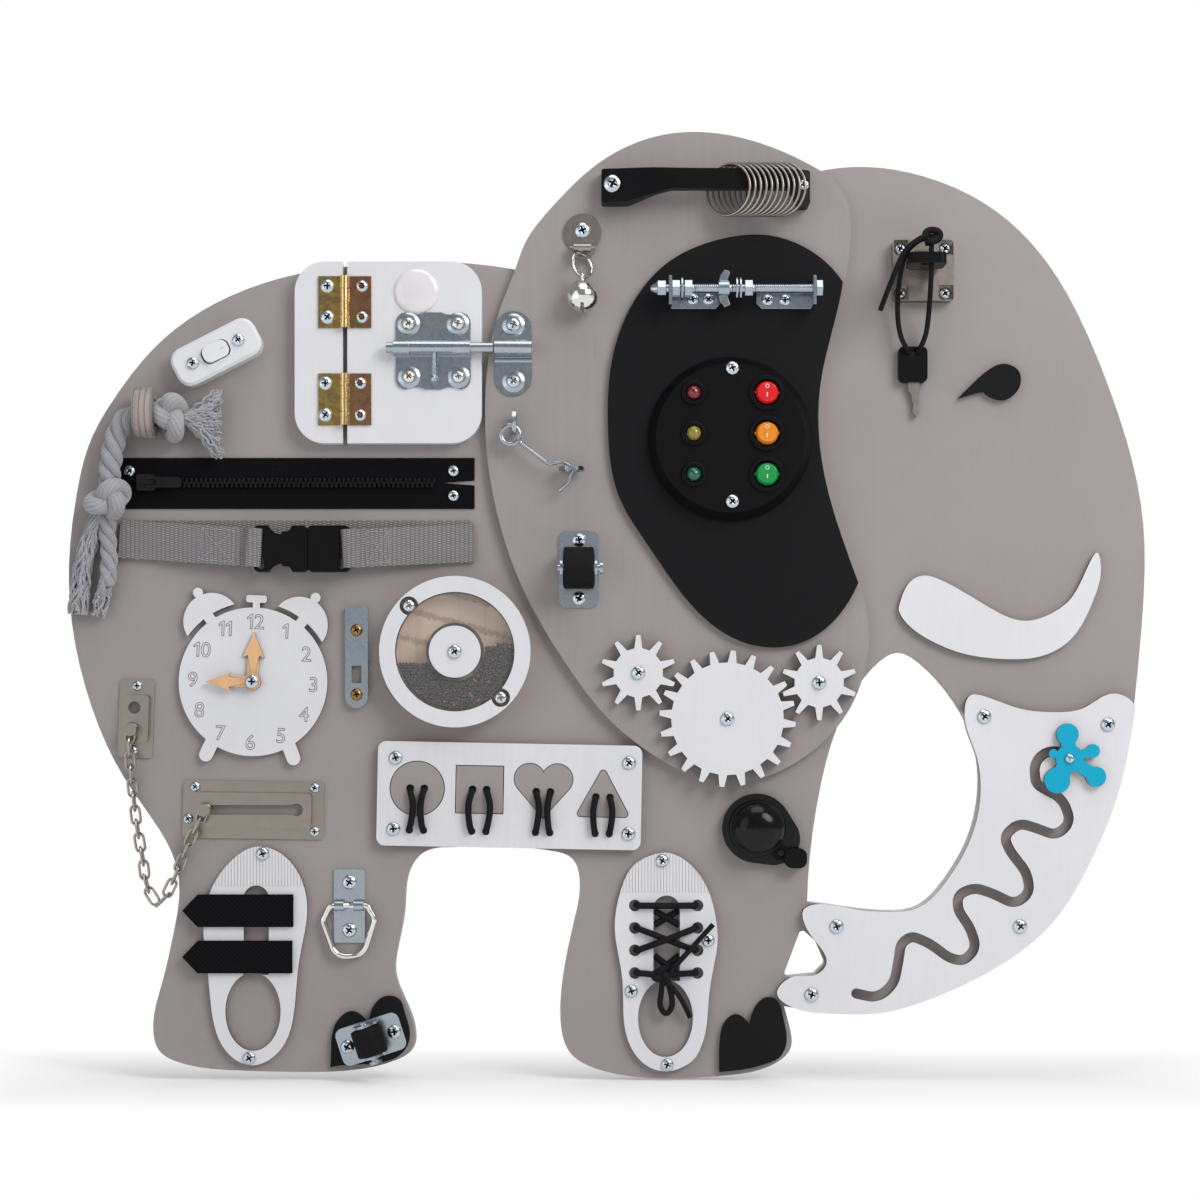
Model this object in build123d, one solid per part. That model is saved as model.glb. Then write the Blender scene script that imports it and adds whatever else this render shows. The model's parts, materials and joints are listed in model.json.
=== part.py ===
"""Wooden busy board: an elephant-shaped activity board with latches, wheels, cords and switches.

Everything is laid out on the bench: X to the right, Y up along the board, Z out of its front, with the
board's back face at Z = 0. The finished pieces are then stood upright, so that the front faces -Y.
"""

from build123d import *
from math import atan2, cos, degrees, radians, sin, sqrt, tan
import os

# ---------------------------------------------------------------- driving dimensions, mm
BASE_T = 12.0            # main board
EAR_T = 6.0              # ear panel on the board
LINING_T = 4.0           # black ear lining and other thin black panels
TRUNK_T = 6.0            # white trunk panel
PLATE_T = 4.0            # clock face, tusk and shoe plates
TRAY_T = 6.0             # shape tray and its shapes
DOOR_T = 9.0             # door and its hinge strip
GEAR_T = 6.0

RUNNING = 0.05           # radial clearance of a pin in its bore
SEAT = 0.3               # gap of a moving or soft piece from what it lies on
SHEET_T = 1.2            # pressed steel fittings

SCREW_HEAD_R = 4.0
SCREW_HEAD_H = 2.2
SCREW_SHANK_R = 1.6
SCREW_BITE = 6.0         # how far a screw goes into the wood
PIVOT_R = 2.45           # plain shank of the screws that things turn on

EAR_TOP = BASE_T + EAR_T
LINING_TOP = EAR_TOP + LINING_T
TRUNK_TOP = BASE_T + TRUNK_T
PLATE_TOP = BASE_T + PLATE_T
TRAY_TOP = BASE_T + TRAY_T
DOOR_TOP = BASE_T + DOOR_T

UP = (Align.CENTER, Align.CENTER, Align.MIN)
CORD_SIDES = 5           # what repeats is drawn with few sides
SHANK_SIDES = 4
HEAD_SIDES = 6
ROUND_SIDES = 12

# ---------------------------------------------------------------- outlines
BACK_AND_LEGS = [
    (-59, 220), (-108, 225), (-160, 223), (-202, 217), (-245, 203), (-290, 174), (-320, 138), (-337, 108),
    (-346, 73), (-351, 25), (-347, -24), (-337, -63), (-320, -103), (-302, -131), (-287, -154), (-280, -173),
    (-279, -190), (-282, -210), (-290, -245), (-296, -275), (-292, -290), (-278, -298), (-240, -303),
    (-200, -304), (-160, -302), (-137, -296), (-126, -288), (-125, -278), (-131, -259), (-138, -240),
    (-137, -225), (-132, -198), (-129, -173), (-120, -161), (-95, -157), (-65, -156.5), (-39, -159),
    (-22, -165), (-17.5, -178), (-21, -205), (-29, -246), (-30, -270), (-24, -291), (-3, -303), (34, -308),
    (81, -306), (109, -299), (120, -289), (119, -272), (116, -261)]
TRUNK_AND_HEAD = [
    (116, -261), (144, -265), (176, -265), (215, -254), (254, -235), (291, -205), (316, -164), (331, -128),
    (341, -90), (346, -51), (351, 10), (351, 48), (345, 88), (331, 135), (313, 180), (291, 220), (256, 257),
    (210, 280), (161, 287), (138, 284)]
EAR_CREST = [(138, 284), (109, 298), (76, 307), (39, 307), (-4, 289), (-36, 259), (-54, 234), (-59, 220)]
EAR_REST = [
    (-68, 197), (-76, 166), (-79, 129), (-77, 92), (-69, 52), (-59, 22), (-44, -9), (-24, -41), (2, -74),
    (30, -96.5), (65, -113), (100, -112), (133, -95), (157, -69), (168, -42), (171, -20), (165, 12), (154, 43),
    (143, 80), (138, 120), (140, 148), (150, 190), (156, 215), (159, 241), (158, 258), (151, 273)]
LINING_EDGE = [(153.5, 210), (149, 188), (139.5, 148), (137.5, 120), (142.5, 80), (153, 44), (163.5, 15)]
LINING_REST = [
    (163.5, 15), (151, -6), (133, -21), (107, -27), (79, -19), (54, 2), (26, 41), (9, 69), (1, 114), (5, 166),
    (18, 198), (40, 223), (74, 238), (105, 240.5), (130, 232), (153.5, 210)]
TRUNK_HOLE_REST = [
    (131, -193), (133, -161), (139, -121), (148, -86), (160, -59), (175, -39), (191, -30), (208, -39),
    (225, -58), (238, -81), (244, -118), (236, -154), (222, -178), (201, -197), (184, -199), (160, -197),
    (131, -193)]
TOE_GAP = [(127, -210), (115, -242), (136, -240), (143, -233), (137, -219)]
TRUNK_PANEL = [
    (344, -68), (341, -86), (331, -128), (316, -164), (291, -205), (254, -235), (215, -254), (176, -265),
    (144, -265), (121, -261), (111, -252), (122, -241), (136, -240), (143, -233), (136, -218), (129, -207),
    (128, -198), (139, -194), (160, -197), (184, -199), (201, -197), (222, -178), (236, -154), (243.5, -118),
    (240, -95), (233, -71), (237, -58), (247, -59), (270, -67), (291, -69), (311, -66), (332, -57)]
MAZE_ROUTE = [
    (279.5, -116), (297, -125.5), (302, -140.5), (292.5, -149.5), (280, -144.5), (268, -141),
    (258.5, -150), (262.5, -159.5), (273.5, -173.5), (275.5, -186.5), (265.5, -194), (251.5, -187),
    (239, -183), (228.5, -188), (228.5, -197.5), (237, -210), (240.5, -222.5), (232.5, -231), (223, -229),
    (210.5, -219.5), (198.5, -214.5), (191.5, -219.5), (190, -230.5), (187, -246), (176, -255),
    (162.5, -252)]
TUSK = [
    (190.5, -0.5), (193.5, 9), (199, 17), (207, 20), (217, 17.5), (250.5, -1.5), (274, -9.5), (292, -3.5),
    (306.5, 11), (320.5, 34), (322, 26.5), (317.5, 5), (302, -22), (281.5, -33), (262.5, -34.5),
    (229.5, -30), (207, -20), (193.5, -8.5)]
EYE_TOP = [(229, 135.5), (239.5, 146), (249.5, 154.5), (259, 158), (267, 155), (270, 147.5)]
EYE_LOW = [(270, 147.5), (267.5, 140), (258.5, 134.5), (248.5, 137.5), (229, 135.5)]
REAR_TOENAIL = [
    [(-180, -300.5), (-179.5, -288.5), (-178.5, -277.5), (-174.5, -269), (-166.5, -264), (-159.5, -267),
     (-155.5, -273)],
    [(-155.5, -273), (-153, -263), (-148, -256), (-142.5, -254), (-135.5, -256), (-131.5, -265),
     (-128.5, -276), (-129, -284.5), (-133, -291), (-140.5, -295.5), (-152.5, -298), (-180, -300.5)]]
FRONT_TOENAIL = [
    [(73.5, -303.5), (73.5, -291), (74, -282), (76, -273), (80.5, -267.5), (84.5, -266), (88.5, -267.5),
     (93.5, -273.5)],
    [(93.5, -273.5), (95, -265.5), (98.5, -259), (104.5, -255), (110.5, -256.5), (115, -267),
     (117.5, -280.5), (116, -289), (112, -294.5), (105.5, -297.5), (95.5, -300.5), (73.5, -303.5)]]
REAR_SHOE = [
    (-225, -156.5), (-212, -161), (-202, -171.5), (-196, -186.5), (-195, -201), (-197.5, -217),
    (-200.5, -233.5), (-204, -268), (-208.5, -283), (-217.5, -294), (-230.5, -299), (-243.5, -294),
    (-252, -283), (-256.5, -268), (-259.5, -240.5), (-262.5, -210), (-261, -196.5), (-257.5, -184.5),
    (-248, -169.5), (-238, -160.5)]
FRONT_SHOE = [
    (36.5, -160.5), (27, -163), (18.5, -168), (9, -186), (5.5, -212), (8, -228), (10.5, -244.5),
    (11.5, -271.5), (14.5, -284), (19.5, -293), (28.5, -300.5), (38.5, -303), (49, -300.5), (57.5, -294.5),
    (62, -286), (64.5, -277.5), (66.5, -256.5), (69.5, -236.5), (72.5, -217), (71, -202), (67.5, -188),
    (55.5, -169), (46.5, -162.5)]

# ---------------------------------------------------------------- small helpers
nodes = {}
driven = []              # shanks that go into other pieces, which are drilled for them at the end


def keep(name, *solids):
    """Adds solids to the named piece."""
    nodes.setdefault(name, []).extend(solids)


def smooth_face(*runs):
    """The face inside one closed curve, smooth along each run and with a corner where two runs meet."""
    if len(runs) == 1 and runs[0][0] != runs[0][-1]:
        return make_face(Spline(*runs[0], periodic=True))
    return make_face([Spline(*run) for run in runs])


def plate(face, bottom, thickness):
    return extrude(Pos(0, 0, bottom) * face, amount=thickness, dir=(0, 0, 1))


def around(radius, angles):
    """Points on a circle round the origin, at angles in degrees."""
    return [(radius * cos(radians(angle)), radius * sin(radians(angle))) for angle in angles]


def block(x, y, z):
    """A box between low and high values along each axis."""
    size = (x[1] - x[0], y[1] - y[0], z[1] - z[0])
    return Pos((x[0] + x[1]) / 2, (y[0] + y[1]) / 2, (z[0] + z[1]) / 2) * Box(*size)


def disc(x, y, bottom, radius, thickness):
    return Pos(x, y, bottom) * Cylinder(radius, thickness, align=UP)


def ring_plate(x, y, bottom, outer, inner, thickness):
    return plate(Pos(x, y) * (Circle(outer) - Circle(inner)), bottom, thickness)


def bar(start, end, radius):
    """A round bar between two points."""
    along = Vector(*end) - Vector(*start)
    return extrude(Plane(origin=start, z_dir=along.normalized()) * Circle(radius), amount=along.length)


def prism(start, end, radius, sides):
    """A bar with flat sides between two points."""
    along = Vector(*end) - Vector(*start)
    section = Plane(origin=start, z_dir=along.normalized()) * RegularPolygon(radius, sides)
    return extrude(section, amount=along.length)


def bend_radii(points):
    """Each bend is as large as its two straight runs allow."""
    radii = []
    for before, here, after in zip(points, points[1:], points[2:]):
        run_in = Vector(*here) - Vector(*before)
        run_out = Vector(*after) - Vector(*here)
        turn = run_in.get_angle(run_out)
        radii.append(0.45 * min(run_in.length, run_out.length) / tan(radians(turn / 2)))
    return radii


def bent_rod(points, radius, sides=CORD_SIDES, radii=None):
    """A rod, wire or cord of straight runs joined by tangent arcs."""
    path = FilletPolyline(*points, radius=radii or bend_radii(points))
    section = Plane(origin=path @ 0, z_dir=path % 0) * RegularPolygon(radius, sides)
    return sweep(section, path=path)


def screw(x, y, seat, bite=SCREW_BITE, head=SCREW_HEAD_R):
    """A pan-head wood screw whose head sits at height seat."""
    crown = loft([
        Pos(x, y, seat) * RegularPolygon(head, HEAD_SIDES),
        Pos(x, y, seat + SCREW_HEAD_H) * RegularPolygon(0.55 * head, HEAD_SIDES)])
    shank = prism((x, y, seat), (x, y, seat - bite), SCREW_SHANK_R, SHANK_SIDES)
    driven.append(shank)
    return crown + shank


def many_sided(radius, hole=0.0, sides=ROUND_SIDES):
    """A round outline with few sides, for small things that repeat."""
    outline = RegularPolygon(radius, sides)
    return outline - RegularPolygon(hole, sides) if hole else outline


def rivet(x, y, seat, radius=SCREW_HEAD_R):
    """A low rivet or screw head that is one with the plate below it."""
    top = seat + SCREW_HEAD_H
    return loft([Pos(x, y, seat - 0.5) * RegularPolygon(radius, HEAD_SIDES),
                 Pos(x, y, top) * RegularPolygon(0.55 * radius, HEAD_SIDES)])


def pivot_screw(x, y, seat, floor, shank=PIVOT_R, head=SCREW_HEAD_R):
    """A screw whose plain shank carries something that turns between floor and seat."""
    crown = loft([
        Pos(x, y, seat) * many_sided(head),
        Pos(x, y, seat + SCREW_HEAD_H) * many_sided(0.55 * head)])
    point = prism((x, y, floor), (x, y, floor - SCREW_BITE), SCREW_SHANK_R, SHANK_SIDES)
    driven.append(point)
    return crown + disc(x, y, floor, shank, seat - floor) + point


def bore(x, y, radius, low, high):
    return disc(x, y, low - 1, radius, high - low + 2)


# ---------------------------------------------------------------- board and its panels
KEYHOLE_X = 190.0
KEYHOLE_Y = 170.0
KEYHOLE_R = 5.0
KEYHOLE_NECK = 5.0
KEYHOLE_LIP = 3.0
KEYHOLE_DEPTH = 7.0
KEYHOLE_RISE = 14.0


def keyhole(x, y):
    """A routed hanger slot: a round entry, a narrow neck above it and a wide channel behind the neck."""
    entry = disc(x, y, 0, KEYHOLE_R, KEYHOLE_DEPTH)
    neck = block((x - KEYHOLE_NECK / 2, x + KEYHOLE_NECK / 2), (y, y + KEYHOLE_RISE), (0, KEYHOLE_LIP))
    channel_z = (KEYHOLE_LIP, KEYHOLE_DEPTH)
    channel = block((x - KEYHOLE_R, x + KEYHOLE_R), (y, y + KEYHOLE_RISE), channel_z)
    return entry + neck + channel


def base_panel():
    outline = smooth_face(BACK_AND_LEGS, TRUNK_AND_HEAD, EAR_CREST)
    board = plate(outline, 0, BASE_T)
    board -= plate(smooth_face(TRUNK_HOLE_REST), -1, BASE_T + 2)
    board -= plate(fillet(Polygon(*TOE_GAP, align=None).vertices(), 2.5), -1, BASE_T + 2)
    for x in (-KEYHOLE_X, KEYHOLE_X):
        board -= keyhole(x, KEYHOLE_Y)
    keep("base_panel", board)


def ear_and_trim():
    keep("ear_panel", plate(smooth_face(EAR_CREST + EAR_REST), BASE_T, EAR_T))
    lining = plate(smooth_face(LINING_EDGE, LINING_REST), EAR_TOP, LINING_T)
    brow = Spline(*EYE_TOP, tangents=[(0.7, 0.7), (0, -1)])
    lid = Spline(*EYE_LOW, tangents=[(0, -1), (-1, -0.3)])
    eye = plate(make_face([brow, lid]), BASE_T, LINING_T)
    toenails = [plate(smooth_face(*runs), BASE_T, LINING_T) for runs in (REAR_TOENAIL, FRONT_TOENAIL)]
    keep("black_panels", lining, eye, *toenails)
    keep("white_plates", plate(smooth_face(TUSK), BASE_T, PLATE_T))


# ---------------------------------------------------------------- trunk maze and its slider
MAZE_CENTRE = (291.0, -107.0)
MAZE_R = 12.5
MAZE_START = 40.0        # degrees, where the slider rests on the slot's first arc
MAZE_END = 185.0
MAZE_SLOT = 6.6
MAZE_UNDERCUT = 12.0
MAZE_LIP = 3.0
SPLAT_T = 4.0
SPLAT_LOBES = [((-1.3, 15.5), 7.2), ((15.2, 4.8), 4.4), ((17.2, -12), 6.5), ((-8, -14.4), 8.4), ((-10.5, 3), 3)]


def slot_cutter(width, low, high, smooth=True):
    """A groove along the maze: an exact arc where it starts, then straight runs that may be joined by bends."""
    arc = CenterArc(MAZE_CENTRE, MAZE_R, MAZE_START, MAZE_END - MAZE_START)
    points = [tuple(arc @ 1)[:2], *MAZE_ROUTE]
    route = FilletPolyline(*points, radius=bend_radii(points)) if smooth else Polyline(*points)
    start = Pos(*MAZE_CENTRE) * Rot(0, 0, MAZE_START) * Pos(MAZE_R, 0) * Circle(width / 2)
    first = Pos(*MAZE_CENTRE) * (Circle(MAZE_R + width / 2) - Circle(MAZE_R - width / 2))
    wedge = Polygon((0, 0), (60, 50.35), (-60, 60), (-60, -5.25), align=None)
    first &= Pos(*MAZE_CENTRE) * wedge
    kind = Kind.ARC if smooth else Kind.INTERSECTION
    groove = make_face(offset(Wire(route.edges()), amount=width / 2, kind=kind))
    return [plate(face, low, high - low) for face in (start, first, groove)]


def trunk_maze():
    panel = plate(smooth_face(TRUNK_PANEL), BASE_T, TRUNK_T)
    for cutter in slot_cutter(MAZE_SLOT, BASE_T - 1, TRUNK_TOP + 1):
        panel -= cutter
    for cutter in slot_cutter(MAZE_UNDERCUT, BASE_T - 1, TRUNK_TOP - MAZE_LIP, smooth=False):
        panel -= cutter
    keep("trunk_panel", panel)

    x = MAZE_CENTRE[0] + MAZE_R * cos(radians(MAZE_START))
    y = MAZE_CENTRE[1] + MAZE_R * sin(radians(MAZE_START))
    face = Circle(9)
    for (dx, dy), radius in SPLAT_LOBES:
        face += Pos(dx, dy) * Circle(radius)
        reach = sqrt(dx * dx + dy * dy)
        arm = Rot(0, 0, degrees(atan2(dy, dx))) * Pos(reach / 2, 0) * Rectangle(reach, 1.3 * radius)
        face += arm
    splat = plate(Pos(x, y) * face, TRUNK_TOP + SEAT, SPLAT_T)
    stem = disc(x, y, BASE_T + SEAT, MAZE_SLOT / 2 - SEAT, TRUNK_T)
    foot = disc(x, y, BASE_T + SEAT, MAZE_UNDERCUT / 2 - SEAT, TRUNK_T - MAZE_LIP - 2 * SEAT)
    splat_top = TRUNK_TOP + SEAT + SPLAT_T
    keep("maze_slider", splat + stem + foot + rivet(x, y, splat_top, 3))


# ---------------------------------------------------------------- door, hinges and barrel bolt
STRIP_X = (-202.5, -171.3)
DOOR_X = (-168.3, -81.0)
DOOR_Y = (105.6, 223.6)
DOOR_CORNER_R = 19.5
KNUCKLE_X = -169.8
KNUCKLE_R = 2.9
PIN_R = 1.3
KNUCKLE_L = 8.4
HINGE_TOPS = (213.9, 150.8)
LEAF_REACH = 17.2
KNUCKLE_Z = DOOR_TOP + KNUCKLE_R + 0.1
ROD_R = 3.6
ROD_Y = 166.8
ROD_Z = DOOR_TOP + 5.7
ROD_X = (-142.5, -73.4)
KNOB_X = -111.5
GUIDE_X = (-138.0, -88.1)
GUIDE_WALL = 1.2
GUIDE_SLOT = (-127.4, -99.6)
KNOB_STEM_R = 1.5
BOLT_PLATE_X = (-136.8, -88.1)
BOLT_PLATE_Y = (140.4, 190.5)
KEEPER_X = (-72.5, -48.4)
KEEPER_Y = (136.7, 191.8)
DOOR_SCREWS = [(-158.6, 207.3), (-158.6, 187.2), (-159.7, 144.3), (-159.7, 123.6)]
BOLT_SCREWS = [(-128.4, 182.9), (-96.4, 182.9), (-128.1, 148.7), (-96, 148.7)]
STRIP_SCREWS = [(-181, 207.3), (-181, 187.2), (-182.3, 144.3), (-182.3, 123.8)]
KEEPER_SCREWS = [(-60.4, 182.7), (-60.4, 146.2)]


def rounded_side(x, y, corner, side):
    """A rectangle with its two corners on one side rounded; side is -1 for left and 1 for right."""
    face = Pos(sum(x) / 2, sum(y) / 2) * Rectangle(x[1] - x[0], y[1] - y[0])
    corners = [v for v in face.vertices() if side * (v.X - sum(x) / 2) > 0]
    return fillet(corners, corner)


def knuckles(top, parity):
    """Every second knuckle of a hinge, and the leaf that they belong to."""
    side = 1 if parity else -1
    solids = []
    for index in range(4):
        if index % 2 != parity:
            continue
        high = top - index * KNUCKLE_L - 0.1
        low = high - KNUCKLE_L + 0.2
        tube = bar((KNUCKLE_X, low, KNUCKLE_Z), (KNUCKLE_X, high, KNUCKLE_Z), KNUCKLE_R)
        web = block(sorted((KNUCKLE_X, KNUCKLE_X + side * 3.4)), (low, high), (DOOR_TOP, DOOR_TOP + SHEET_T))
        solids += [tube, web]
    leaf_x = sorted((KNUCKLE_X + side * 3.2, KNUCKLE_X + side * LEAF_REACH))
    solids.append(block(leaf_x, (top - 4 * KNUCKLE_L, top), (DOOR_TOP, DOOR_TOP + SHEET_T)))
    leaf = solids[0].fuse(*solids[1:])
    pin_r = PIN_R + RUNNING if parity else PIN_R
    pin_hole = bar((KNUCKLE_X, top - 5 * KNUCKLE_L, KNUCKLE_Z), (KNUCKLE_X, top + KNUCKLE_L, KNUCKLE_Z), pin_r)
    return leaf - pin_hole


def door():
    strip = plate(rounded_side(STRIP_X, DOOR_Y, DOOR_CORNER_R, -1), BASE_T, DOOR_T)
    keep("white_plates", strip)
    panel = plate(rounded_side(DOOR_X, DOOR_Y, DOOR_CORNER_R, 1), BASE_T + SEAT, DOOR_T - SEAT)
    keep("door_panel", panel)
    for top in HINGE_TOPS:
        keep("fixed_door_hardware", knuckles(top, 0))
        pin_ends = (KNUCKLE_X, top - 4 * KNUCKLE_L, KNUCKLE_Z), (KNUCKLE_X, top, KNUCKLE_Z)
        keep("fixed_door_hardware", bar(*pin_ends, PIN_R))
        keep("door_hardware", knuckles(top, 1))
    for x, y in DOOR_SCREWS + BOLT_SCREWS:
        keep("door_hardware", screw(x, y, DOOR_TOP + SHEET_T, bite=DOOR_T - 1))
    for x, y in STRIP_SCREWS:
        keep("screws", screw(x, y, DOOR_TOP + SHEET_T, bite=DOOR_T + 4))


def barrel_bolt():
    low_y, high_y = BOLT_PLATE_Y
    low_x, high_x = BOLT_PLATE_X
    mid_x = (low_x + high_x) / 2
    face = Pos(mid_x, (low_y + high_y) / 2) * RectangleRounded(high_x - low_x, high_y - low_y, 7)
    for y in (low_y - 12.5, high_y + 12.5):
        face -= Pos(mid_x - 11.5, y) * Circle(14)
        face -= Pos(mid_x + 11.5, y) * Circle(14)
    base = plate(face, DOOR_TOP, SHEET_T)
    tube_outer = ROD_R + RUNNING + GUIDE_WALL
    tube = bar((GUIDE_X[0], ROD_Y, ROD_Z), (GUIDE_X[1], ROD_Y, ROD_Z), tube_outer)
    skirt = block(GUIDE_X, (ROD_Y - tube_outer, ROD_Y + tube_outer), (DOOR_TOP, ROD_Z))
    guide = base + tube + skirt
    guide -= bar((GUIDE_X[0] - 1, ROD_Y, ROD_Z), (GUIDE_X[1] + 1, ROD_Y, ROD_Z), ROD_R + RUNNING)
    guide -= block(GUIDE_SLOT, (ROD_Y - 8, ROD_Y + 1.5), (ROD_Z - KNOB_STEM_R - SEAT, ROD_Z + 8))
    keep("door_hardware", guide)

    rod = bar((ROD_X[0], ROD_Y, ROD_Z), (ROD_X[1], ROD_Y, ROD_Z), ROD_R)
    stem = bar((KNOB_X, ROD_Y, ROD_Z), (KNOB_X, ROD_Y - 19, ROD_Z), KNOB_STEM_R)
    tip = ROD_Y - 19
    knob = loft([Plane(origin=(KNOB_X, y, ROD_Z), z_dir=(0, -1, 0)) * many_sided(radius)
                 for y, radius in ((tip + 1, 1.9), (tip - 0.6, 2.6), (tip - 2.6, 2.2), (tip - 3.6, 0.9))], ruled=True)
    keep("slide_bolt", rod + stem + knob)


def bolt_keeper():
    width = KEEPER_X[1] - KEEPER_X[0]
    mid_x = sum(KEEPER_X) / 2
    mid_y = sum(KEEPER_Y) / 2
    flat = plate(Pos(mid_x, mid_y) * Rot(0, 0, 90) * SlotOverall(KEEPER_Y[1] - KEEPER_Y[0], width), EAR_TOP, SHEET_T)
    tunnel_r = ROD_R + SEAT
    arch_r = tunnel_r + SHEET_T
    arch = bar((KEEPER_X[0], ROD_Y, ROD_Z), (KEEPER_X[1], ROD_Y, ROD_Z), arch_r)
    arch += block(KEEPER_X, (ROD_Y - arch_r, ROD_Y + arch_r), (EAR_TOP, ROD_Z))
    rib = bar((KEEPER_X[0], ROD_Y - arch_r - 2.2, EAR_TOP + SHEET_T), (KEEPER_X[1], ROD_Y - arch_r - 2.2,
              EAR_TOP + SHEET_T), 1.6)
    staple = flat + arch + rib
    staple -= bar((KEEPER_X[0] - 1, ROD_Y, ROD_Z), (KEEPER_X[1] + 1, ROD_Y, ROD_Z), tunnel_r)
    staple -= block((KEEPER_X[0] - 1, KEEPER_X[1] + 1), (ROD_Y - tunnel_r, ROD_Y + tunnel_r),
                    (EAR_TOP + SHEET_T, ROD_Z))
    staple -= block(KEEPER_X, KEEPER_Y, (EAR_TOP - 5, EAR_TOP))
    keep("fixed_door_hardware", staple)
    for x, y in KEEPER_SCREWS:
        keep("screws", screw(x, y, EAR_TOP + SHEET_T))


# ---------------------------------------------------------------- alarm clock
CLOCK = (-230.2, -49.2)
CLOCK_R = 48.4
CLOCK_TILT = -2.5
BELL_GAP = 3.4
BELL_R = 18.5
BELL_REACH = 47.7
BELL_ANGLE = 36.8
HAND_T = 2.0
HAND_HUB_R = 5.6


def clock():
    face = Circle(CLOCK_R)
    for side in (-1, 1):
        turn = Rot(0, 0, side * BELL_ANGLE)
        bell = turn * Pos(0, BELL_REACH) * Circle(BELL_R) - Circle(CLOCK_R + BELL_GAP)
        neck = turn * Pos(0, CLOCK_R + 1) * Rectangle(7, 8)
        knob = Rot(0, 0, side * 34.2) * (Pos(0, 68.2) * Circle(3.3) + Pos(0, 64) * Rectangle(4, 7))
        foot_at = Rot(0, 0, side * 31) * Pos(0, -52)
        foot = foot_at * Rot(0, 0, 90 - side * 8) * SlotOverall(18, 9)
        face += bell + neck + knob + foot
    face += Pos(0, CLOCK_R + 1) * Rectangle(4.6, 6)
    face += Pos(0, CLOCK_R + 5.6) * RectangleRounded(13.6, 4.8, 1.8)
    keep("clock_face", plate(Pos(*CLOCK) * Rot(0, 0, CLOCK_TILT) * face, BASE_T, PLATE_T))

    def hand(length, barb, half_stem, half_barb, angle):
        points = [(-half_stem, 0), (-half_stem, barb + 1.5), (-half_barb, barb), (0, length), (half_barb, barb),
                  (half_stem, barb + 1.5), (half_stem, 0)]
        arrow = Polygon(*points, align=None) + Circle(HAND_HUB_R) - Circle(PIVOT_R + RUNNING)
        return Pos(*CLOCK) * Rot(0, 0, angle) * arrow

    low = PLATE_TOP + SEAT
    keep("minute_hand", plate(hand(32.6, 15.5, 3.8, 7.2, -2), low, HAND_T))
    keep("hour_hand", plate(hand(30.4, 13.5, 3.6, 6.2, 90), low + HAND_T + SEAT, HAND_T))
    keep("screws", pivot_screw(*CLOCK, low + 2 * HAND_T + 2 * SEAT, PLATE_TOP))


# ---------------------------------------------------------------- latch plate
LATCH_X = (-170.2, -155.4)
LATCH_Y = (-66.3, -0.7)


def latch_plate():
    width = LATCH_X[1] - LATCH_X[0]
    mid = sum(LATCH_X) / 2
    rise = 2.6
    body = rounded_end(width, LATCH_Y, mid)
    shell = plate(body, BASE_T, rise + SHEET_T)
    shell -= plate(offset(body, amount=-SHEET_T), BASE_T, rise)
    shell -= block((mid - 3.2, mid + 3.2), (-50, -38.7), (BASE_T, BASE_T + 9))
    keep("chain_and_latch_plates", shell)
    top = BASE_T + rise + SHEET_T
    keep("chain_and_latch_plates", disc(mid, -26.3, top, 3.6, 1.2))
    for y in (-15.6, -57.5):
        keep("screws", screw(mid, y, top, bite=8))


def rounded_end(width, span, mid):
    """A strip with a square top and a half-round bottom."""
    radius = width / 2
    straight = Pos(mid, (span[0] + radius + span[1]) / 2) * Rectangle(width, span[1] - span[0] - radius)
    return straight + Pos(mid, span[0] + radius) * Circle(radius)


# ---------------------------------------------------------------- seed wheel
WHEEL = (-98.1, -29.9)
WHEEL_R = 49.0
WHEEL_CAVITY_R = 38.0
WHEEL_HUB_R = 18.9
WHEEL_LIFT = 0.8
WHEEL_BACK_T = 3.0
WHEEL_WALL_H = 9.0
WHEEL_RING_T = 3.0
WINDOW_T = 2.0
WHEEL_EAR_R = 42.0
WHEEL_EARS = (135, -45)
SEED_LEVELS = (-36.4, -24.7)


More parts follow.
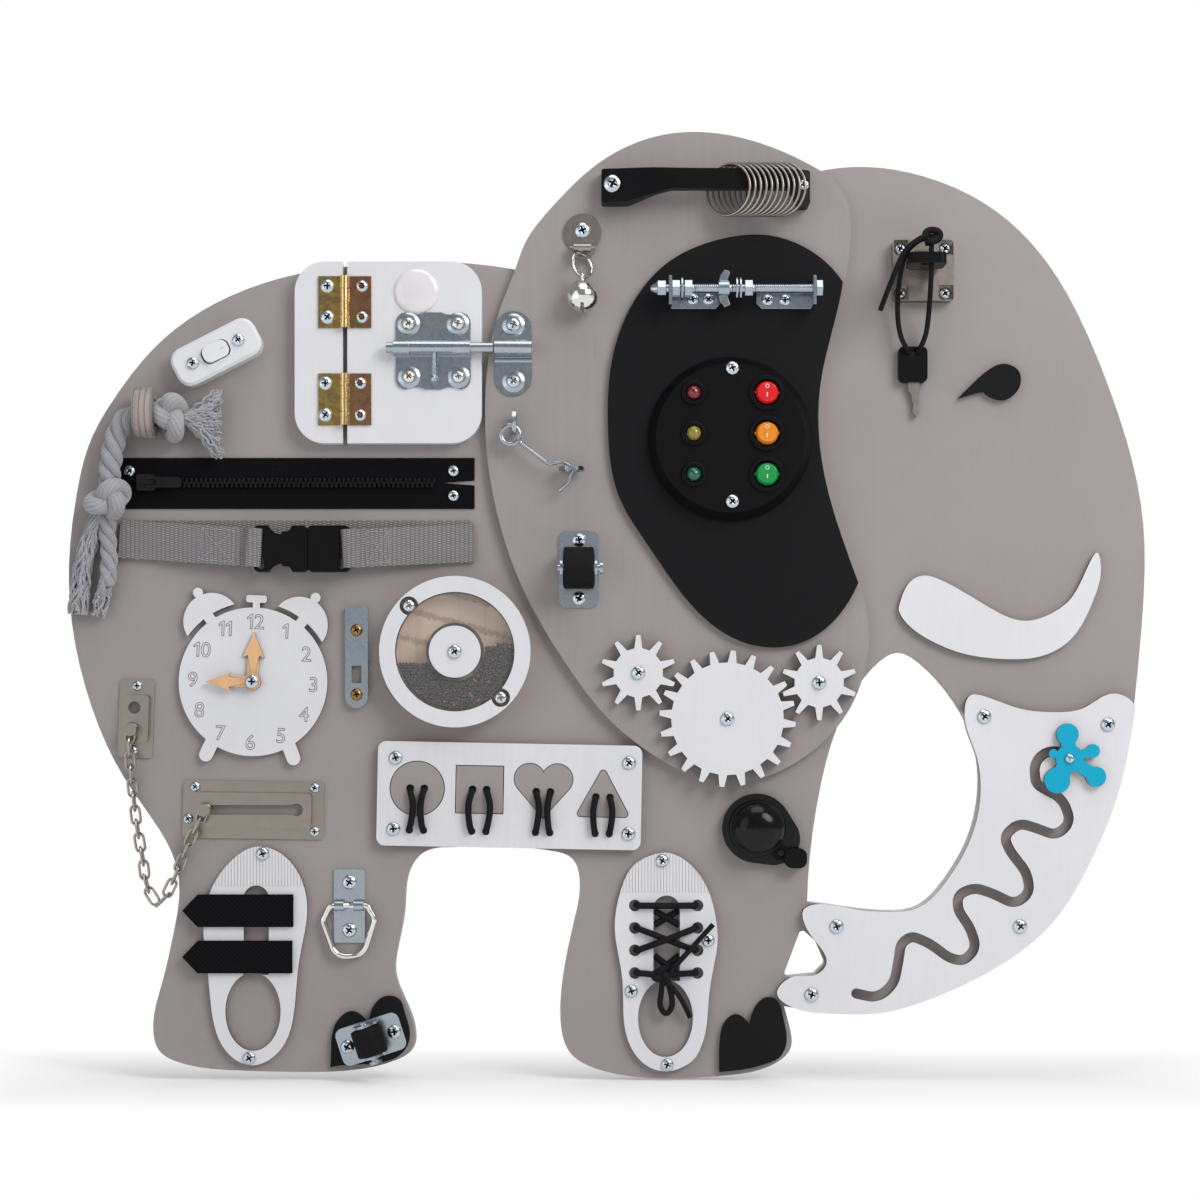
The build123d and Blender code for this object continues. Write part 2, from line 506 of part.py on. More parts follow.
def seed_wheel():
    floor = BASE_T + WHEEL_LIFT
    cavity_floor = floor + WHEEL_BACK_T
    wall_top = cavity_floor + WHEEL_WALL_H
    ears = around(WHEEL_EAR_R, WHEEL_EARS)
    place = Pos(*WHEEL)

    def with_ears(radius, ear):
        face = Circle(radius)
        for x, y in ears:
            face += Pos(x, y) * Circle(ear)
        return face

    shaft_hole = Circle(PIVOT_R + RUNNING)
    back = plate(place * (Circle(WHEEL_R - 1) - shaft_hole), floor, WHEEL_BACK_T)
    wall = plate(place * (Circle(WHEEL_R - 1) - Circle(WHEEL_CAVITY_R)), cavity_floor, WHEEL_WALL_H)
    hub = plate(place * (Circle(WHEEL_HUB_R) - shaft_hole), cavity_floor, WHEEL_WALL_H)
    keep("seed_wheel", back + wall + hub)
    keep("seed_wheel", plate(place * (Circle(WHEEL_R) - with_ears(38.6, 6)), wall_top, WHEEL_RING_T))
    window = plate(place * (with_ears(38.4, 5.7) - shaft_hole), wall_top, WINDOW_T)
    for x, y in ears:
        window += rivet(WHEEL[0] + x, WHEEL[1] + y, wall_top + WINDOW_T)
    keep("seed_wheel", window)
    keep("seed_wheel", plate(place * (Circle(16.8) - shaft_hole), wall_top + WINDOW_T, 1.5))
    keep("screws", pivot_screw(*WHEEL, wall_top + WINDOW_T + 1.5 + SEAT, BASE_T))

    fill = plate(place * (Circle(WHEEL_CAVITY_R - SEAT) - Circle(WHEEL_HUB_R + SEAT)), cavity_floor + SEAT,
                 WHEEL_WALL_H - 2 * SEAT)
    left, right = SEED_LEVELS
    x, y = WHEEL
    fill -= block((x - 50, x), (left, y + 50), (0, 50))
    fill -= block((x, x + 50), (right, y + 50), (0, 50))
    keep("seeds", fill)


# ---------------------------------------------------------------- door chain
CHAIN_WIRE = 1.8
LINK_L = 13.3
LINK_W = 9.0
LINK_COUNT = 21
ANCHOR = (-306.8, -73.1)
TRACK = (-230.4, -132.7)
TRACK_RISE = 3.2
TRACK_SLOT = (-263.0, -203.0)
TRACK_SLOT_W = 6.4
CHAIN_KNOB = (-309.1, -80.4)
CHAIN_BUTTON = (-261.4, -132.6)
CHAIN_POST_R = LINK_W / 2 - CHAIN_WIRE - SEAT
RIB_TOP = BASE_T + TRACK_RISE + SHEET_T
POST_FLANGE_T = 2.4
END_LINK_Z = RIB_TOP + SEAT + POST_FLANGE_T + SEAT + CHAIN_WIRE / 2
FREE_LINK_Z = BASE_T + LINK_W / 2 + SEAT
LAID_LINK_Z = RIB_TOP + LINK_W / 2 + SEAT
CHAIN_ROUTE = [
    (-309.7, -90, LAID_LINK_Z), (-309.5, -100, LAID_LINK_Z - 1.4), (-308.2, -121, FREE_LINK_Z),
    (-305, -147, FREE_LINK_Z), (-301.2, -170, FREE_LINK_Z), (-298.8, -182.5, FREE_LINK_Z),
    (-291.4, -192.5, FREE_LINK_Z), (-283.8, -182.5, FREE_LINK_Z), (-275.8, -164, FREE_LINK_Z + 0.5),
    (-270.2, -151.5, LAID_LINK_Z - 1.6), (-266, -143, LAID_LINK_Z)]


def pressed_plate(centre, length, width, rib_length, rib_width, turn):
    """A rectangular plate with a raised, hollow middle."""
    place = Pos(*centre) * Rot(0, 0, turn)
    flat = plate(place * RectangleRounded(length, width, 2.5), BASE_T, SHEET_T)
    rib = plate(place * RectangleRounded(rib_length, rib_width, 3), BASE_T, TRACK_RISE + SHEET_T)
    hollow = plate(place * RectangleRounded(rib_length - 2 * SHEET_T, rib_width - 2 * SHEET_T, 2), BASE_T - 1,
                   TRACK_RISE + 1)
    return flat + rib - hollow


def chain_post(x, y, low):
    """A flanged stud that holds the end link of the chain."""
    flange_top = RIB_TOP + SEAT + POST_FLANGE_T
    head_low = flange_top + 2 * SEAT + CHAIN_WIRE
    flange = disc(x, y, low, 4.6, flange_top - low)
    return flange + disc(x, y, low, CHAIN_POST_R, head_low - low) + disc(x, y, head_low, 4.2, 1.8)


def chain_plates():
    anchor = pressed_plate(ANCHOR, 51.3, 22.8, 31, 17, 88)
    anchor -= disc(-307.4, -66, BASE_T + 1, 4, 9)
    keep("chain_and_latch_plates", anchor + chain_post(*CHAIN_KNOB, RIB_TOP - SHEET_T / 2))
    for x, y in [(-306.1, -51.8), (-309.1, -94)]:
        keep("screws", screw(x, y, BASE_T + SHEET_T, head=3))
    track = pressed_plate(TRACK, 92.3, 37.7, 76.4, 22.5, -0.8)
    slot_mid = sum(TRACK_SLOT) / 2
    slot_y = CHAIN_BUTTON[1]
    slot_length = TRACK_SLOT[1] - TRACK_SLOT[0] + TRACK_SLOT_W
    track -= plate(Pos(slot_mid, slot_y) * SlotOverall(slot_length, TRACK_SLOT_W), BASE_T + 1, 9)
    track -= disc(TRACK_SLOT[1] + 1, slot_y, BASE_T + 1, 4.2, 9)
    keep("chain_and_latch_plates", track)
    for x, y in [(-268.2, -117.6), (-190.4, -118.4), (-190.4, -147), (-272.9, -138.5)]:
        keep("screws", screw(x, y, BASE_T + SHEET_T, head=3))

    x, y = CHAIN_BUTTON
    flange = disc(x, y, BASE_T + SEAT, 3.9, TRACK_RISE - 2 * SEAT)
    neck = disc(x, y, BASE_T + SEAT, TRACK_SLOT_W / 2 - SEAT, TRACK_RISE + SHEET_T + SEAT)
    keep("chain_slider", flange + neck + chain_post(x, y, RIB_TOP + SEAT))


def chain_links():
    """Oval links along the hanging route, every second one turned on edge; the end ones lie flat on their posts."""
    start = Vector(*CHAIN_KNOB, END_LINK_Z)
    end = Vector(*CHAIN_BUTTON, END_LINK_Z)
    route = Spline(start, *CHAIN_ROUTE, end)
    overhang = LINK_L / 2 - CHAIN_WIRE - (LINK_W / 2 - CHAIN_WIRE)
    pitch = (route.length - 2 * overhang) / (LINK_COUNT - 1)
    for index in range(LINK_COUNT):
        at = (overhang + index * pitch) / route.length
        along = route % at
        level = Vector(along.X, along.Y, 0).normalized() if index in (0, LINK_COUNT - 1) else along
        across = Vector(0, 0, 1).cross(level).normalized()
        normal = level.cross(across) if index % 2 == 0 else across
        centre = route @ at
        if index in (0, LINK_COUNT - 1):
            centre = Vector(centre.X, centre.Y, END_LINK_Z)
        frame = Plane(origin=centre, x_dir=level, z_dir=normal)
        keep("chain_links", extrude(frame * link_face(), amount=CHAIN_WIRE / 2, both=True))


def link_face():
    """A long ring with eight corners outside and inside."""
    def oval(length, width, roundness):
        half_l, half_w = length / 2, width / 2
        bevel = roundness * half_w
        corners = [(half_l, half_w - bevel), (half_l - bevel, half_w)]
        corners += [(-x, y) for x, y in reversed(corners)]
        corners += [(x, -y) for x, y in reversed(corners)]
        return Polygon(*corners, align=None)

    return oval(LINK_L, LINK_W, 0.6) - oval(LINK_L - 2 * CHAIN_WIRE, LINK_W - 2 * CHAIN_WIRE, 0.35)


# ---------------------------------------------------------------- shoes, lace and hook-and-loop straps
EYELET_X = (18.5, 59.3)
EYELET_ROWS = (-194.9, -209.5, -224.1, -238.9)
SHOE_EYELET_R = 3.9
STRAP_T = 2.4
LACE_R = 1.7


def shoes():
    rear_slot = Pos(-228.1, -215) * Rectangle(16.3, 50) + Pos(-228.1, -190) * Circle(8.15)
    rear_mouth = Pos(-230.2, -264.1) * Ellipse(18, 25.5)
    rear = plate(smooth_face(REAR_SHOE) - rear_slot - rear_mouth, BASE_T, PLATE_T)
    front_slot = Pos(39.2, -220) * Rectangle(17.2, 48) + Pos(39.2, -197) * Circle(8.6)
    front_mouth = Pos(38.4, -268.5) * Ellipse(17.9, 25.1)
    front = plate(smooth_face(FRONT_SHOE) - front_slot - front_mouth, BASE_T, PLATE_T)
    for x in EYELET_X:
        for y in EYELET_ROWS:
            front -= plate(Pos(x, y) * many_sided(SHOE_EYELET_R), BASE_T - 1, PLATE_T + 2)
    keep("white_plates", rear, front)
    for x, y in [(-223.9, -161.2), (-232.6, -294.3), (36.3, -165.8), (66.2, -217.6), (16.2, -250.6), (39.6, -298.7)]:
        keep("screws", screw(x, y, PLATE_TOP, head=3.8))

    for y, x in [(-198.2, (-276, -203.8)), (-228.3, (-276, -204.4))]:
        half = 10.6
        point = [(x[1], y - half), (x[1], y + half), (x[0] + 10, y + half), (x[0], y), (x[0] + 10, y - half)]
        keep("strap_webbing", plate(Polygon(*point, align=None), PLATE_TOP + SEAT, STRAP_T))


def shoe_lace():
    left, right = EYELET_X
    low = PLATE_TOP - 1.5
    high = PLATE_TOP + LACE_R + 0.6

    def lace_bar(start, end, lift=0.0):
        sx, sy = start
        ex, ey = end
        rise = high + lift
        inset = 3.4 if ex > sx else -3.4
        route = [(sx, sy, low), (sx + inset, sy, rise), (ex - inset, ey, rise), (ex, ey, low)]
        return bent_rod(route, LACE_R)

    over = 2 * LACE_R + 0.1
    last_y = EYELET_ROWS[3]
    knot_z = high + 3.2
    knot = knot_block(35.4, last_y - 0.9, knot_z, (13, 10, 8.5))
    loose = [
        bent_rod([(left, last_y, low), (left + 3.4, last_y, high), (31, last_y, high)], LACE_R),
        bent_rod([(right, last_y, low), (right - 3.4, last_y, high), (40, last_y, high)], LACE_R),
        bent_rod([(38, -238, knot_z), (52, -225, high + 6.5), (68.9, -207.3, high + 5)], LACE_R),
        bent_rod([(38, -242, knot_z), (48, -256, high + 1.5), (54.3, -267.8, high - 1)], LACE_R),
        bent_rod([(35.6, -241, knot_z), (37, -256, high + 2), (38.5, -264.6, high)], 2 * LACE_R)]
    keep("shoe_lace", lace_bar((left, EYELET_ROWS[0]), (right, EYELET_ROWS[0])))
    keep("shoe_lace", lace_bar((left, EYELET_ROWS[1]), (right, EYELET_ROWS[2])))
    keep("shoe_lace", lace_bar((left, EYELET_ROWS[2]), (right, EYELET_ROWS[1]), over))
    keep("shoe_lace", knot.fuse(*loose))


# ---------------------------------------------------------------- shape tray
TRAY = (-63.2, -123.3)
TRAY_TILT = -1.1
TRAY_SIZE = (172.0, 68.0)
SHAPE_GAP = 0.5
SHAPE_Y = 3.6
HOLE_R = 2.5
HOLE_PITCH = 9.2
LOWER_HOLES_Y = -23.6
CORD_R = 1.7
SHAPES_X = {"circle": -60.0, "square": -19.4, "heart": 22.1, "triangle": 60.9}
CORD_TOP_Y = {"circle": 0.0, "square": 0.0, "heart": -0.6, "triangle": -3.4}


def shape_face(name, grow=0.0):
    if name == "circle":
        return Circle(17.5 + grow)
    if name == "square":
        return Rectangle(30.6 + 2 * grow, 30.6 + 2 * grow)
    if name == "triangle":
        corners = [(-17.7, -16.2), (17.7, -16.2), (0, 16.2)]
        return offset(fillet(Polygon(*corners, align=None).vertices(), 2), amount=grow)
    lobe_r = 9.9
    lobe_x = 9.0
    lobe_y = 7.6
    tip = (0, -17.6)
    heart = Pos(-lobe_x, lobe_y) * Circle(lobe_r) + Pos(lobe_x, lobe_y) * Circle(lobe_r)
    heart += Polygon(tip, (16.4, 1.0), (5, 7), (-5, 7), (-16.4, 1.0), align=None)
    return offset(heart, amount=grow) if grow else heart


def shape_tray():
    place = Pos(*TRAY) * Rot(0, 0, TRAY_TILT)
    face = RectangleRounded(*TRAY_SIZE, 5.5)
    for name, x in SHAPES_X.items():
        face -= Pos(x, SHAPE_Y) * shape_face(name, SHAPE_GAP)
        for side in (-1, 1):
            face -= Pos(x + side * HOLE_PITCH / 2, LOWER_HOLES_Y) * many_sided(HOLE_R)
    keep("shape_tray", plate(place * face, BASE_T, TRAY_T))
    for x, y in [(-74.4, 23.3), (77.5, 22.8), (-75.0, -23), (77.9, -23.4)]:
        spot = place * Pos(x, y)
        keep("screws", screw(spot.position.X, spot.position.Y, TRAY_TOP))
    for name, x in SHAPES_X.items():
        holes_y = SHAPE_Y + CORD_TOP_Y[name]
        piece = Pos(x, SHAPE_Y) * shape_face(name)
        for side in (-1, 1):
            piece -= Pos(x + side * HOLE_PITCH / 2, holes_y) * many_sided(HOLE_R)
        keep(f"shape_{name}", plate(place * piece, BASE_T + SEAT, TRAY_T))
        for side in (-1, 1):
            keep("shape_cords", shape_cord(place, x + side * HOLE_PITCH / 2, holes_y, side))


def shape_cord(place, x, top_y, side):
    """One strand from a hole in a shape down to the hole below it in the tray."""
    deep = TRAY_TOP - 3.5
    out = TRAY_TOP + 3.2
    local = [(x, top_y, deep), (x, top_y, out), (x, LOWER_HOLES_Y, out + 0.4), (x, LOWER_HOLES_Y, deep)]
    points = [tuple((place * Pos(*p)).position) for p in local]
    return bent_rod(points, CORD_R, radii=[3.0, 3.0])


# ---------------------------------------------------------------- tie-down ring
TIE_X = (-177.8, -157.6)
TIE_Y = (-219.4, -171.6)
TIE_RING_R = 2.0
TIE_AXIS = (-195.0, BASE_T + 1.5 + 3.0)    # Y and Z of the ring's hinge line
TIE_HALF = 12.2


def tie_down():
    axis_y, axis_z = TIE_AXIS
    mid = sum(TIE_X) / 2
    base = block(TIE_X, TIE_Y, (BASE_T, BASE_T + 1.5))
    lug_outer = TIE_RING_R + RUNNING + 1.5
    for x in ((TIE_X[0] + 0.6, mid - 3.2), (mid + 3.2, TIE_X[1] - 0.6)):
        base += bar((x[0], axis_y, axis_z), (x[1], axis_y, axis_z), lug_outer)
        base += block(x, (axis_y - lug_outer, axis_y + lug_outer), (BASE_T + 1, axis_z))
    base -= bar((TIE_X[0] - 1, axis_y, axis_z), (TIE_X[1] + 1, axis_y, axis_z), TIE_RING_R + RUNNING)
    keep("fixed_fittings", base)
    for y in (-180.0, -211.2):
        keep("screws", screw(mid, y, BASE_T + 1.5, head=4.2))
    points = [(mid, axis_y), (mid + TIE_HALF, axis_y), (mid + 17, axis_y - 9), (mid + 9, axis_y - 33),
              (mid - 9, axis_y - 33), (mid - 17, axis_y - 9), (mid - TIE_HALF, axis_y), (mid, axis_y)]
    keep("tie_down_ring", swept_loop(points, [3.2, 5, 10, 10, 5, 3.2], axis_z, TIE_RING_R))


def swept_loop(points, radii, height, radius):
    """A closed ring of round wire, made of two halves that meet where it starts."""
    path = FilletPolyline(*[(x, y, height) for x, y in points[:-1]], (points[-1][0] - 0.01, points[-1][1], height),
                          radius=radii)
    section = Plane(origin=path @ 0, z_dir=path % 0) * RegularPolygon(radius, 8)
    return sweep(section, path=path)


# ---------------------------------------------------------------- caster rollers
ROLLER_AXLE_R = 2.5
CHEEK_T = 1.6


def roller_set(x, y, turn, floor, length, width, wheel_r, wheel_w, spacing, wheel_node):
    """A bracket with two cheeks, its axle, and the roller between them. The axle lies across the plate."""
    place = Pos(x, y, floor) * Rot(0, 0, turn)
    axis_z = SHEET_T + wheel_r + 0.8
    bracket = plate(RectangleRounded(width, length, 5), 0, SHEET_T)
    cheek_face = Plane.YZ * (Pos(0, axis_z / 2) * Rectangle(2 * wheel_r * 0.8, axis_z) + Pos(0, axis_z) * Circle(6))
    for side in (-1, 1):
        inner = wheel_w / 2 + 0.6
        cheek = Pos(side * (inner + CHEEK_T / 2), 0, 0) * extrude(cheek_face, amount=CHEEK_T / 2, both=True)
        bracket += cheek
    bracket += bar((-width / 2 - 0.4, 0, axis_z), (width / 2 + 2.6, 0, axis_z), ROLLER_AXLE_R)
    bracket += bar((width / 2 + 0.6, 0, axis_z), (width / 2 + 2.6, 0, axis_z), 4.2)
    keep("fixed_fittings", place * bracket)
    wheel = bar((-wheel_w / 2, 0, axis_z), (wheel_w / 2, 0, axis_z), wheel_r)
    wheel -= bar((-wheel_w, 0, axis_z), (wheel_w, 0, axis_z), ROLLER_AXLE_R + RUNNING)
    keep(wheel_node, place * wheel)
    for end in (-1, 1):
        spot = place * Pos(0, end * spacing / 2)
        keep("screws", screw(spot.position.X, spot.position.Y, floor + SHEET_T))


def rollers():
    roller_set(-17.9, 23.9, 0, EAR_TOP, 50, 26, 13.5, 19.5, 38, "ear_roller")
    roller_set(-153.4, -281.9, -72, PLATE_TOP, 43, 25, 10, 18, 32, "foot_roller")


# ---------------------------------------------------------------- hook and eyes
EYE_R = 7.1
EYE_WIRE_R = 1.3
HOOK_WIRE_R = 1.15
HOOK_Z = EAR_TOP + 8.6
HOOK_LOOP = (-62.2, 110.5)
HOOK_LOOP_R = 6.1
LEFT_EYE = (-59.6, 118.4)
RIGHT_EYE = (-22.6, 88.4)


def hook_and_eyes():
    def eye(x, y, turn):
        outline = many_sided(EYE_R + EYE_WIRE_R, EYE_R - EYE_WIRE_R)
        ring = Rot(0, 90, 0) * plate(outline, -EYE_WIRE_R, 2 * EYE_WIRE_R)
        shank = bar((0, 0, -EYE_R - 0.5), (0, 0, EAR_TOP - HOOK_Z - 5), EYE_WIRE_R)
        driven.append(Pos(x, y, HOOK_Z) * shank)
        return Pos(x, y, HOOK_Z) * Rot(0, 0, turn) * (ring + shank)

    keep("fixed_fittings", eye(*LEFT_EYE, 0), eye(*RIGHT_EYE, 90))
    flat = HOOK_WIRE_R - 0.2
    loop = ring_plate(*HOOK_LOOP, HOOK_Z - flat, HOOK_LOOP_R + HOOK_WIRE_R, HOOK_LOOP_R - HOOK_WIRE_R, 2 * flat)
    start_x = HOOK_LOOP[0] + HOOK_LOOP_R
    route = [(start_x, 110.5), (start_x, 106), (-37.4, 91.3), (-28.9, 93.2), (-21.6, 89.6), (-24.5, 80), (-30.7, 74)]
    shank = bent_rod([(x, y, HOOK_Z) for x, y in route], HOOK_WIRE_R, radii=[3, 6, 4, 1.8, 8])
    keep("latch_hook", loop + shank)


# ---------------------------------------------------------------- jingle bell
BELL_X = -15.6
HANGER_Y = 232.0
HANGER_Z = EAR_TOP + 5.6
HANGER_BAR_R = 2.7
D_RING_SIZE = (17.0, 15.0)
D_RING_WIRE = 1.6
SPLIT_RING_R = 8.3
SPLIT_RING_W = 1.6
SPLIT_RING_T = 1.4
SPLIT_LEAN = 20.0        # degrees, the lower side stands away from the board
SPLIT_TURN = 42.0
EYELET_R = 2.4
EYELET_W = 1.3
JINGLE_R = 10.7


def jingle_bell():
    base_top = EAR_TOP + 1.5
    washer = disc(BELL_X, 242.6, EAR_TOP, 12.3, 1.5)
    strap = block((BELL_X - 5.6, BELL_X + 5.6), (HANGER_Y, 249), (base_top, base_top + SHEET_T))
    fold = bar((BELL_X - 5.6, HANGER_Y, HANGER_Z), (BELL_X + 5.6, HANGER_Y, HANGER_Z), HANGER_BAR_R)
    fold += block((BELL_X - 5.6, BELL_X + 5.6), (HANGER_Y, HANGER_Y + HANGER_BAR_R), (base_top, HANGER_Z))
    length, width = D_RING_SIZE
    inner = SlotOverall(length - 2 * D_RING_WIRE, width - 2 * D_RING_WIRE)
    d_ring = SlotOverall(length, width) - inner - Pos(0, width / 2) * Rectangle(2 * length, width)
    hanger = washer + strap + fold
    hanger += plate(Pos(BELL_X, HANGER_Y) * d_ring, HANGER_Z - D_RING_WIRE / 2, D_RING_WIRE)
    half = length / 2
    hanger += bar((BELL_X - half, HANGER_Y, HANGER_Z), (BELL_X + half, HANGER_Y, HANGER_Z), D_RING_WIRE / 2)
    keep("fixed_fittings", hanger)
    keep("screws", screw(BELL_X, 243.8, base_top + SHEET_T, head=4.6))

    rise = SPLIT_RING_R * cos(radians(SPLIT_LEAN))
    lean = SPLIT_RING_R * sin(radians(SPLIT_LEAN))
    d_inside_y = HANGER_Y - width / 2 + D_RING_WIRE
    ring_y = d_inside_y + SPLIT_RING_W / 2 + 3.5 * SEAT - rise
    ring_z = HANGER_Z + lean - SEAT
    outline = Circle(SPLIT_RING_R + SPLIT_RING_W / 2) - Circle(SPLIT_RING_R - SPLIT_RING_W / 2)
    ring = plate(outline, -SPLIT_RING_T / 2, SPLIT_RING_T)
    keep("jingle_bell", Pos(BELL_X, ring_y, ring_z) * Rot(-SPLIT_LEAN, 0, 0) * Rot(0, SPLIT_TURN, 0) * ring)

    eyelet_y = ring_y - rise
    eyelet_z = ring_z + lean
    eyelet = Rot(0, 90, 0) * plate(many_sided(EYELET_R + EYELET_W / 2, EYELET_R - EYELET_W / 2), -0.7, 1.4)
    outside = around(JINGLE_R, range(-90, 91, 15))
    inside = around(JINGLE_R - 1.2, range(90, -91, -30))
    ball = revolve(make_face(Polyline(*outside, *inside, close=True)), Axis.Y)
    ball -= Pos(0, -JINGLE_R) * Box(1.6, JINGLE_R, 2 * JINGLE_R)
    drop = JINGLE_R + EYELET_R + EYELET_W / 2 - 0.8
    keep("jingle_bell", Pos(BELL_X, eyelet_y, eyelet_z) * (eyelet + Pos(0, -drop) * ball))


# ---------------------------------------------------------------- handle with rings
BAR_X = (-3.3, 131.0)
BAR_Y = (267.6, 280.6)
BAR_Z = (EAR_TOP + 12.0, EAR_TOP + 20.0)
LEFT_FOOT_X = 13.5
RIGHT_FOOT_X = 123.0
RING_IN_R = 15.7
RING_OUT_R = 17.3
RING_T = 1.8
RING_TWIST = 37.0        # degrees, how far the rings have turned from facing front
RING_COUNT = 11
RING_SIDES = 16
RING_PITCH = 3.55
FIRST_RING_X = 78.6


def ring_handle():
    low, high = BAR_Z
    left, right = BAR_X
    plan = Polygon((left, 281.6), (left, 259.8), (LEFT_FOOT_X, 259.8), (LEFT_FOOT_X + 28, BAR_Y[0]),
                   (RIGHT_FOOT_X - 6, BAR_Y[0]), (RIGHT_FOOT_X, 257.7), (right, 257.7), (right, 279.6),
                   (112, BAR_Y[1]), (60, BAR_Y[1]), align=None)
    plan = fillet([v for v in plan.vertices() if v.X < left + 1 or v.X > right - 1], 1.6)
    side = Polygon((left, EAR_TOP), (LEFT_FOOT_X, EAR_TOP), (LEFT_FOOT_X + 18, low), (RIGHT_FOOT_X, low),
                   (RIGHT_FOOT_X, EAR_TOP), (right, EAR_TOP), (right, high - 3), (right - 14, high), (30, high),
                   (left, high - 7), align=None)
    body = plate(plan, EAR_TOP, high - EAR_TOP)
    body &= Pos(0, 300, 0) * extrude(Plane.XZ * side, amount=60, dir=(0, -1, 0))
    heads = [(4.0, 271.8, high - 6.5, 5.2), (right - 4.2, 270.4, high - 4.2, 3.6)]
    for x, y, seat, head in heads:
        body -= disc(x, y, seat, head + 0.4, 20)
        keep("screws", screw(x, y, seat, bite=seat - EAR_TOP + 5, head=head))
    keep("ring_handle", body)

    mid_z = (low + high) / 2
    twist = radians(RING_TWIST)
    half_chord = ((high - low) / 2 + RING_T / 2 * cos(twist)) / sin(twist)
    centre_y = BAR_Y[1] + 0.5 - sqrt(RING_IN_R ** 2 - half_chord ** 2)
    for index in range(RING_COUNT):
        place = Pos(FIRST_RING_X + index * RING_PITCH, centre_y, mid_z) * Rot(0, -RING_TWIST, 0)
        outline = Rot(0, 0, 180 / RING_SIDES) * many_sided(RING_OUT_R, RING_IN_R, RING_SIDES)
        keep("handle_rings", place * plate(outline, -RING_T / 2, RING_T))


# ---------------------------------------------------------------- threaded bolt on two brackets
BOLT_R = 3.0
BOLT_Y = 203.6
BOLT_Z = LINING_TOP + 13.0
NUT_AF = 10.0
NUT_T = 5.0
NUT_R = NUT_AF / sqrt(3)
WING_X = 72.0
WING_HUB_L = 7.0


def threaded_bolt():
    def nut(x, length=NUT_T, radius=NUT_R):
        return prism((x, BOLT_Y, BOLT_Z), (x + length, BOLT_Y, BOLT_Z), radius, 6)

    def washer(x, radius=7.5, thickness=1.2):
        return prism((x, BOLT_Y, BOLT_Z), (x + thickness, BOLT_Y, BOLT_Z), radius, ROUND_SIDES)

    stem = bar((33, BOLT_Y, BOLT_Z), (135, BOLT_Y, BOLT_Z), BOLT_R)
    fixed = stem + nut(135, 4) + nut(42.2) + washer(48) + nut(50.2) + nut(89)
    fixed += washer(83.2) + washer(85.6) + nut(32.8, 5.4, 5.4)
    fixed += loft([Plane(origin=(32.8, BOLT_Y, BOLT_Z), z_dir=(-1, 0, 0)) * many_sided(4.4),
                   Plane(origin=(28.4, BOLT_Y, BOLT_Z), z_dir=(-1, 0, 0)) * many_sided(1.8)])
    keep("bolt_and_brackets", fixed)

    for x, ear_x, mirror in ((40.0, 40.0, 1), (97.2, 132.6, -1)):
        length = 34.0 if mirror == 1 else 37.4
        foot_y = (192.4, 208.0)
        foot = block((x, x + length), foot_y, (LINING_TOP, LINING_TOP + 2))
        corner = x + length if mirror == 1 else x
        foot = chamfer([e for e in foot.edges().filter_by(Axis.Z) if abs(e.center().X - corner) < 0.1], 3.5)
        ear = block((ear_x, ear_x + 2), (foot_y[0], foot_y[1] + 3), (LINING_TOP, BOLT_Z + 7))
        bracket = foot + ear - bar((20, BOLT_Y, BOLT_Z), (150, BOLT_Y, BOLT_Z), BOLT_R + RUNNING)
        keep("bolt_and_brackets", bracket)
    for x, y in [(55.8, 198.4), (66.0, 198.4), (104.3, 197.9), (115.6, 197.9)]:
        keep("screws", screw(x, y, LINING_TOP + 2, head=3.4))

    hub = bar((WING_X, BOLT_Y, BOLT_Z), (WING_X + WING_HUB_L, BOLT_Y, BOLT_Z), 5.2)
    wing_face = Polygon((0, 2), (5, 2.5), (7.5, 10.6), (4, 12.2), (1.2, 8.5), align=None)
    for side in (1, -1):
        wing = extrude(wing_face, amount=1.1, both=True)
        hub += Pos(WING_X, BOLT_Y, BOLT_Z) * Rot(0 if side == 1 else 180, 0, 0) * wing
    hub -= bar((60, BOLT_Y, BOLT_Z), (90, BOLT_Y, BOLT_Z), BOLT_R + RUNNING)
    keep("wing_nut", hub)


# ---------------------------------------------------------------- cam lock and keys
LOCK = (206.0, 218.3)
LOCK_SIDE = 40.0
LOCK_T = 8.0
LOCK_FACE_Z = BASE_T + 20.0
KEYWAY = (204.3, 219.6)
CYLINDER_R = 10.4
KEY_T = 2.2
BOW_T = 7.0
KEY_CORD_R = 1.45


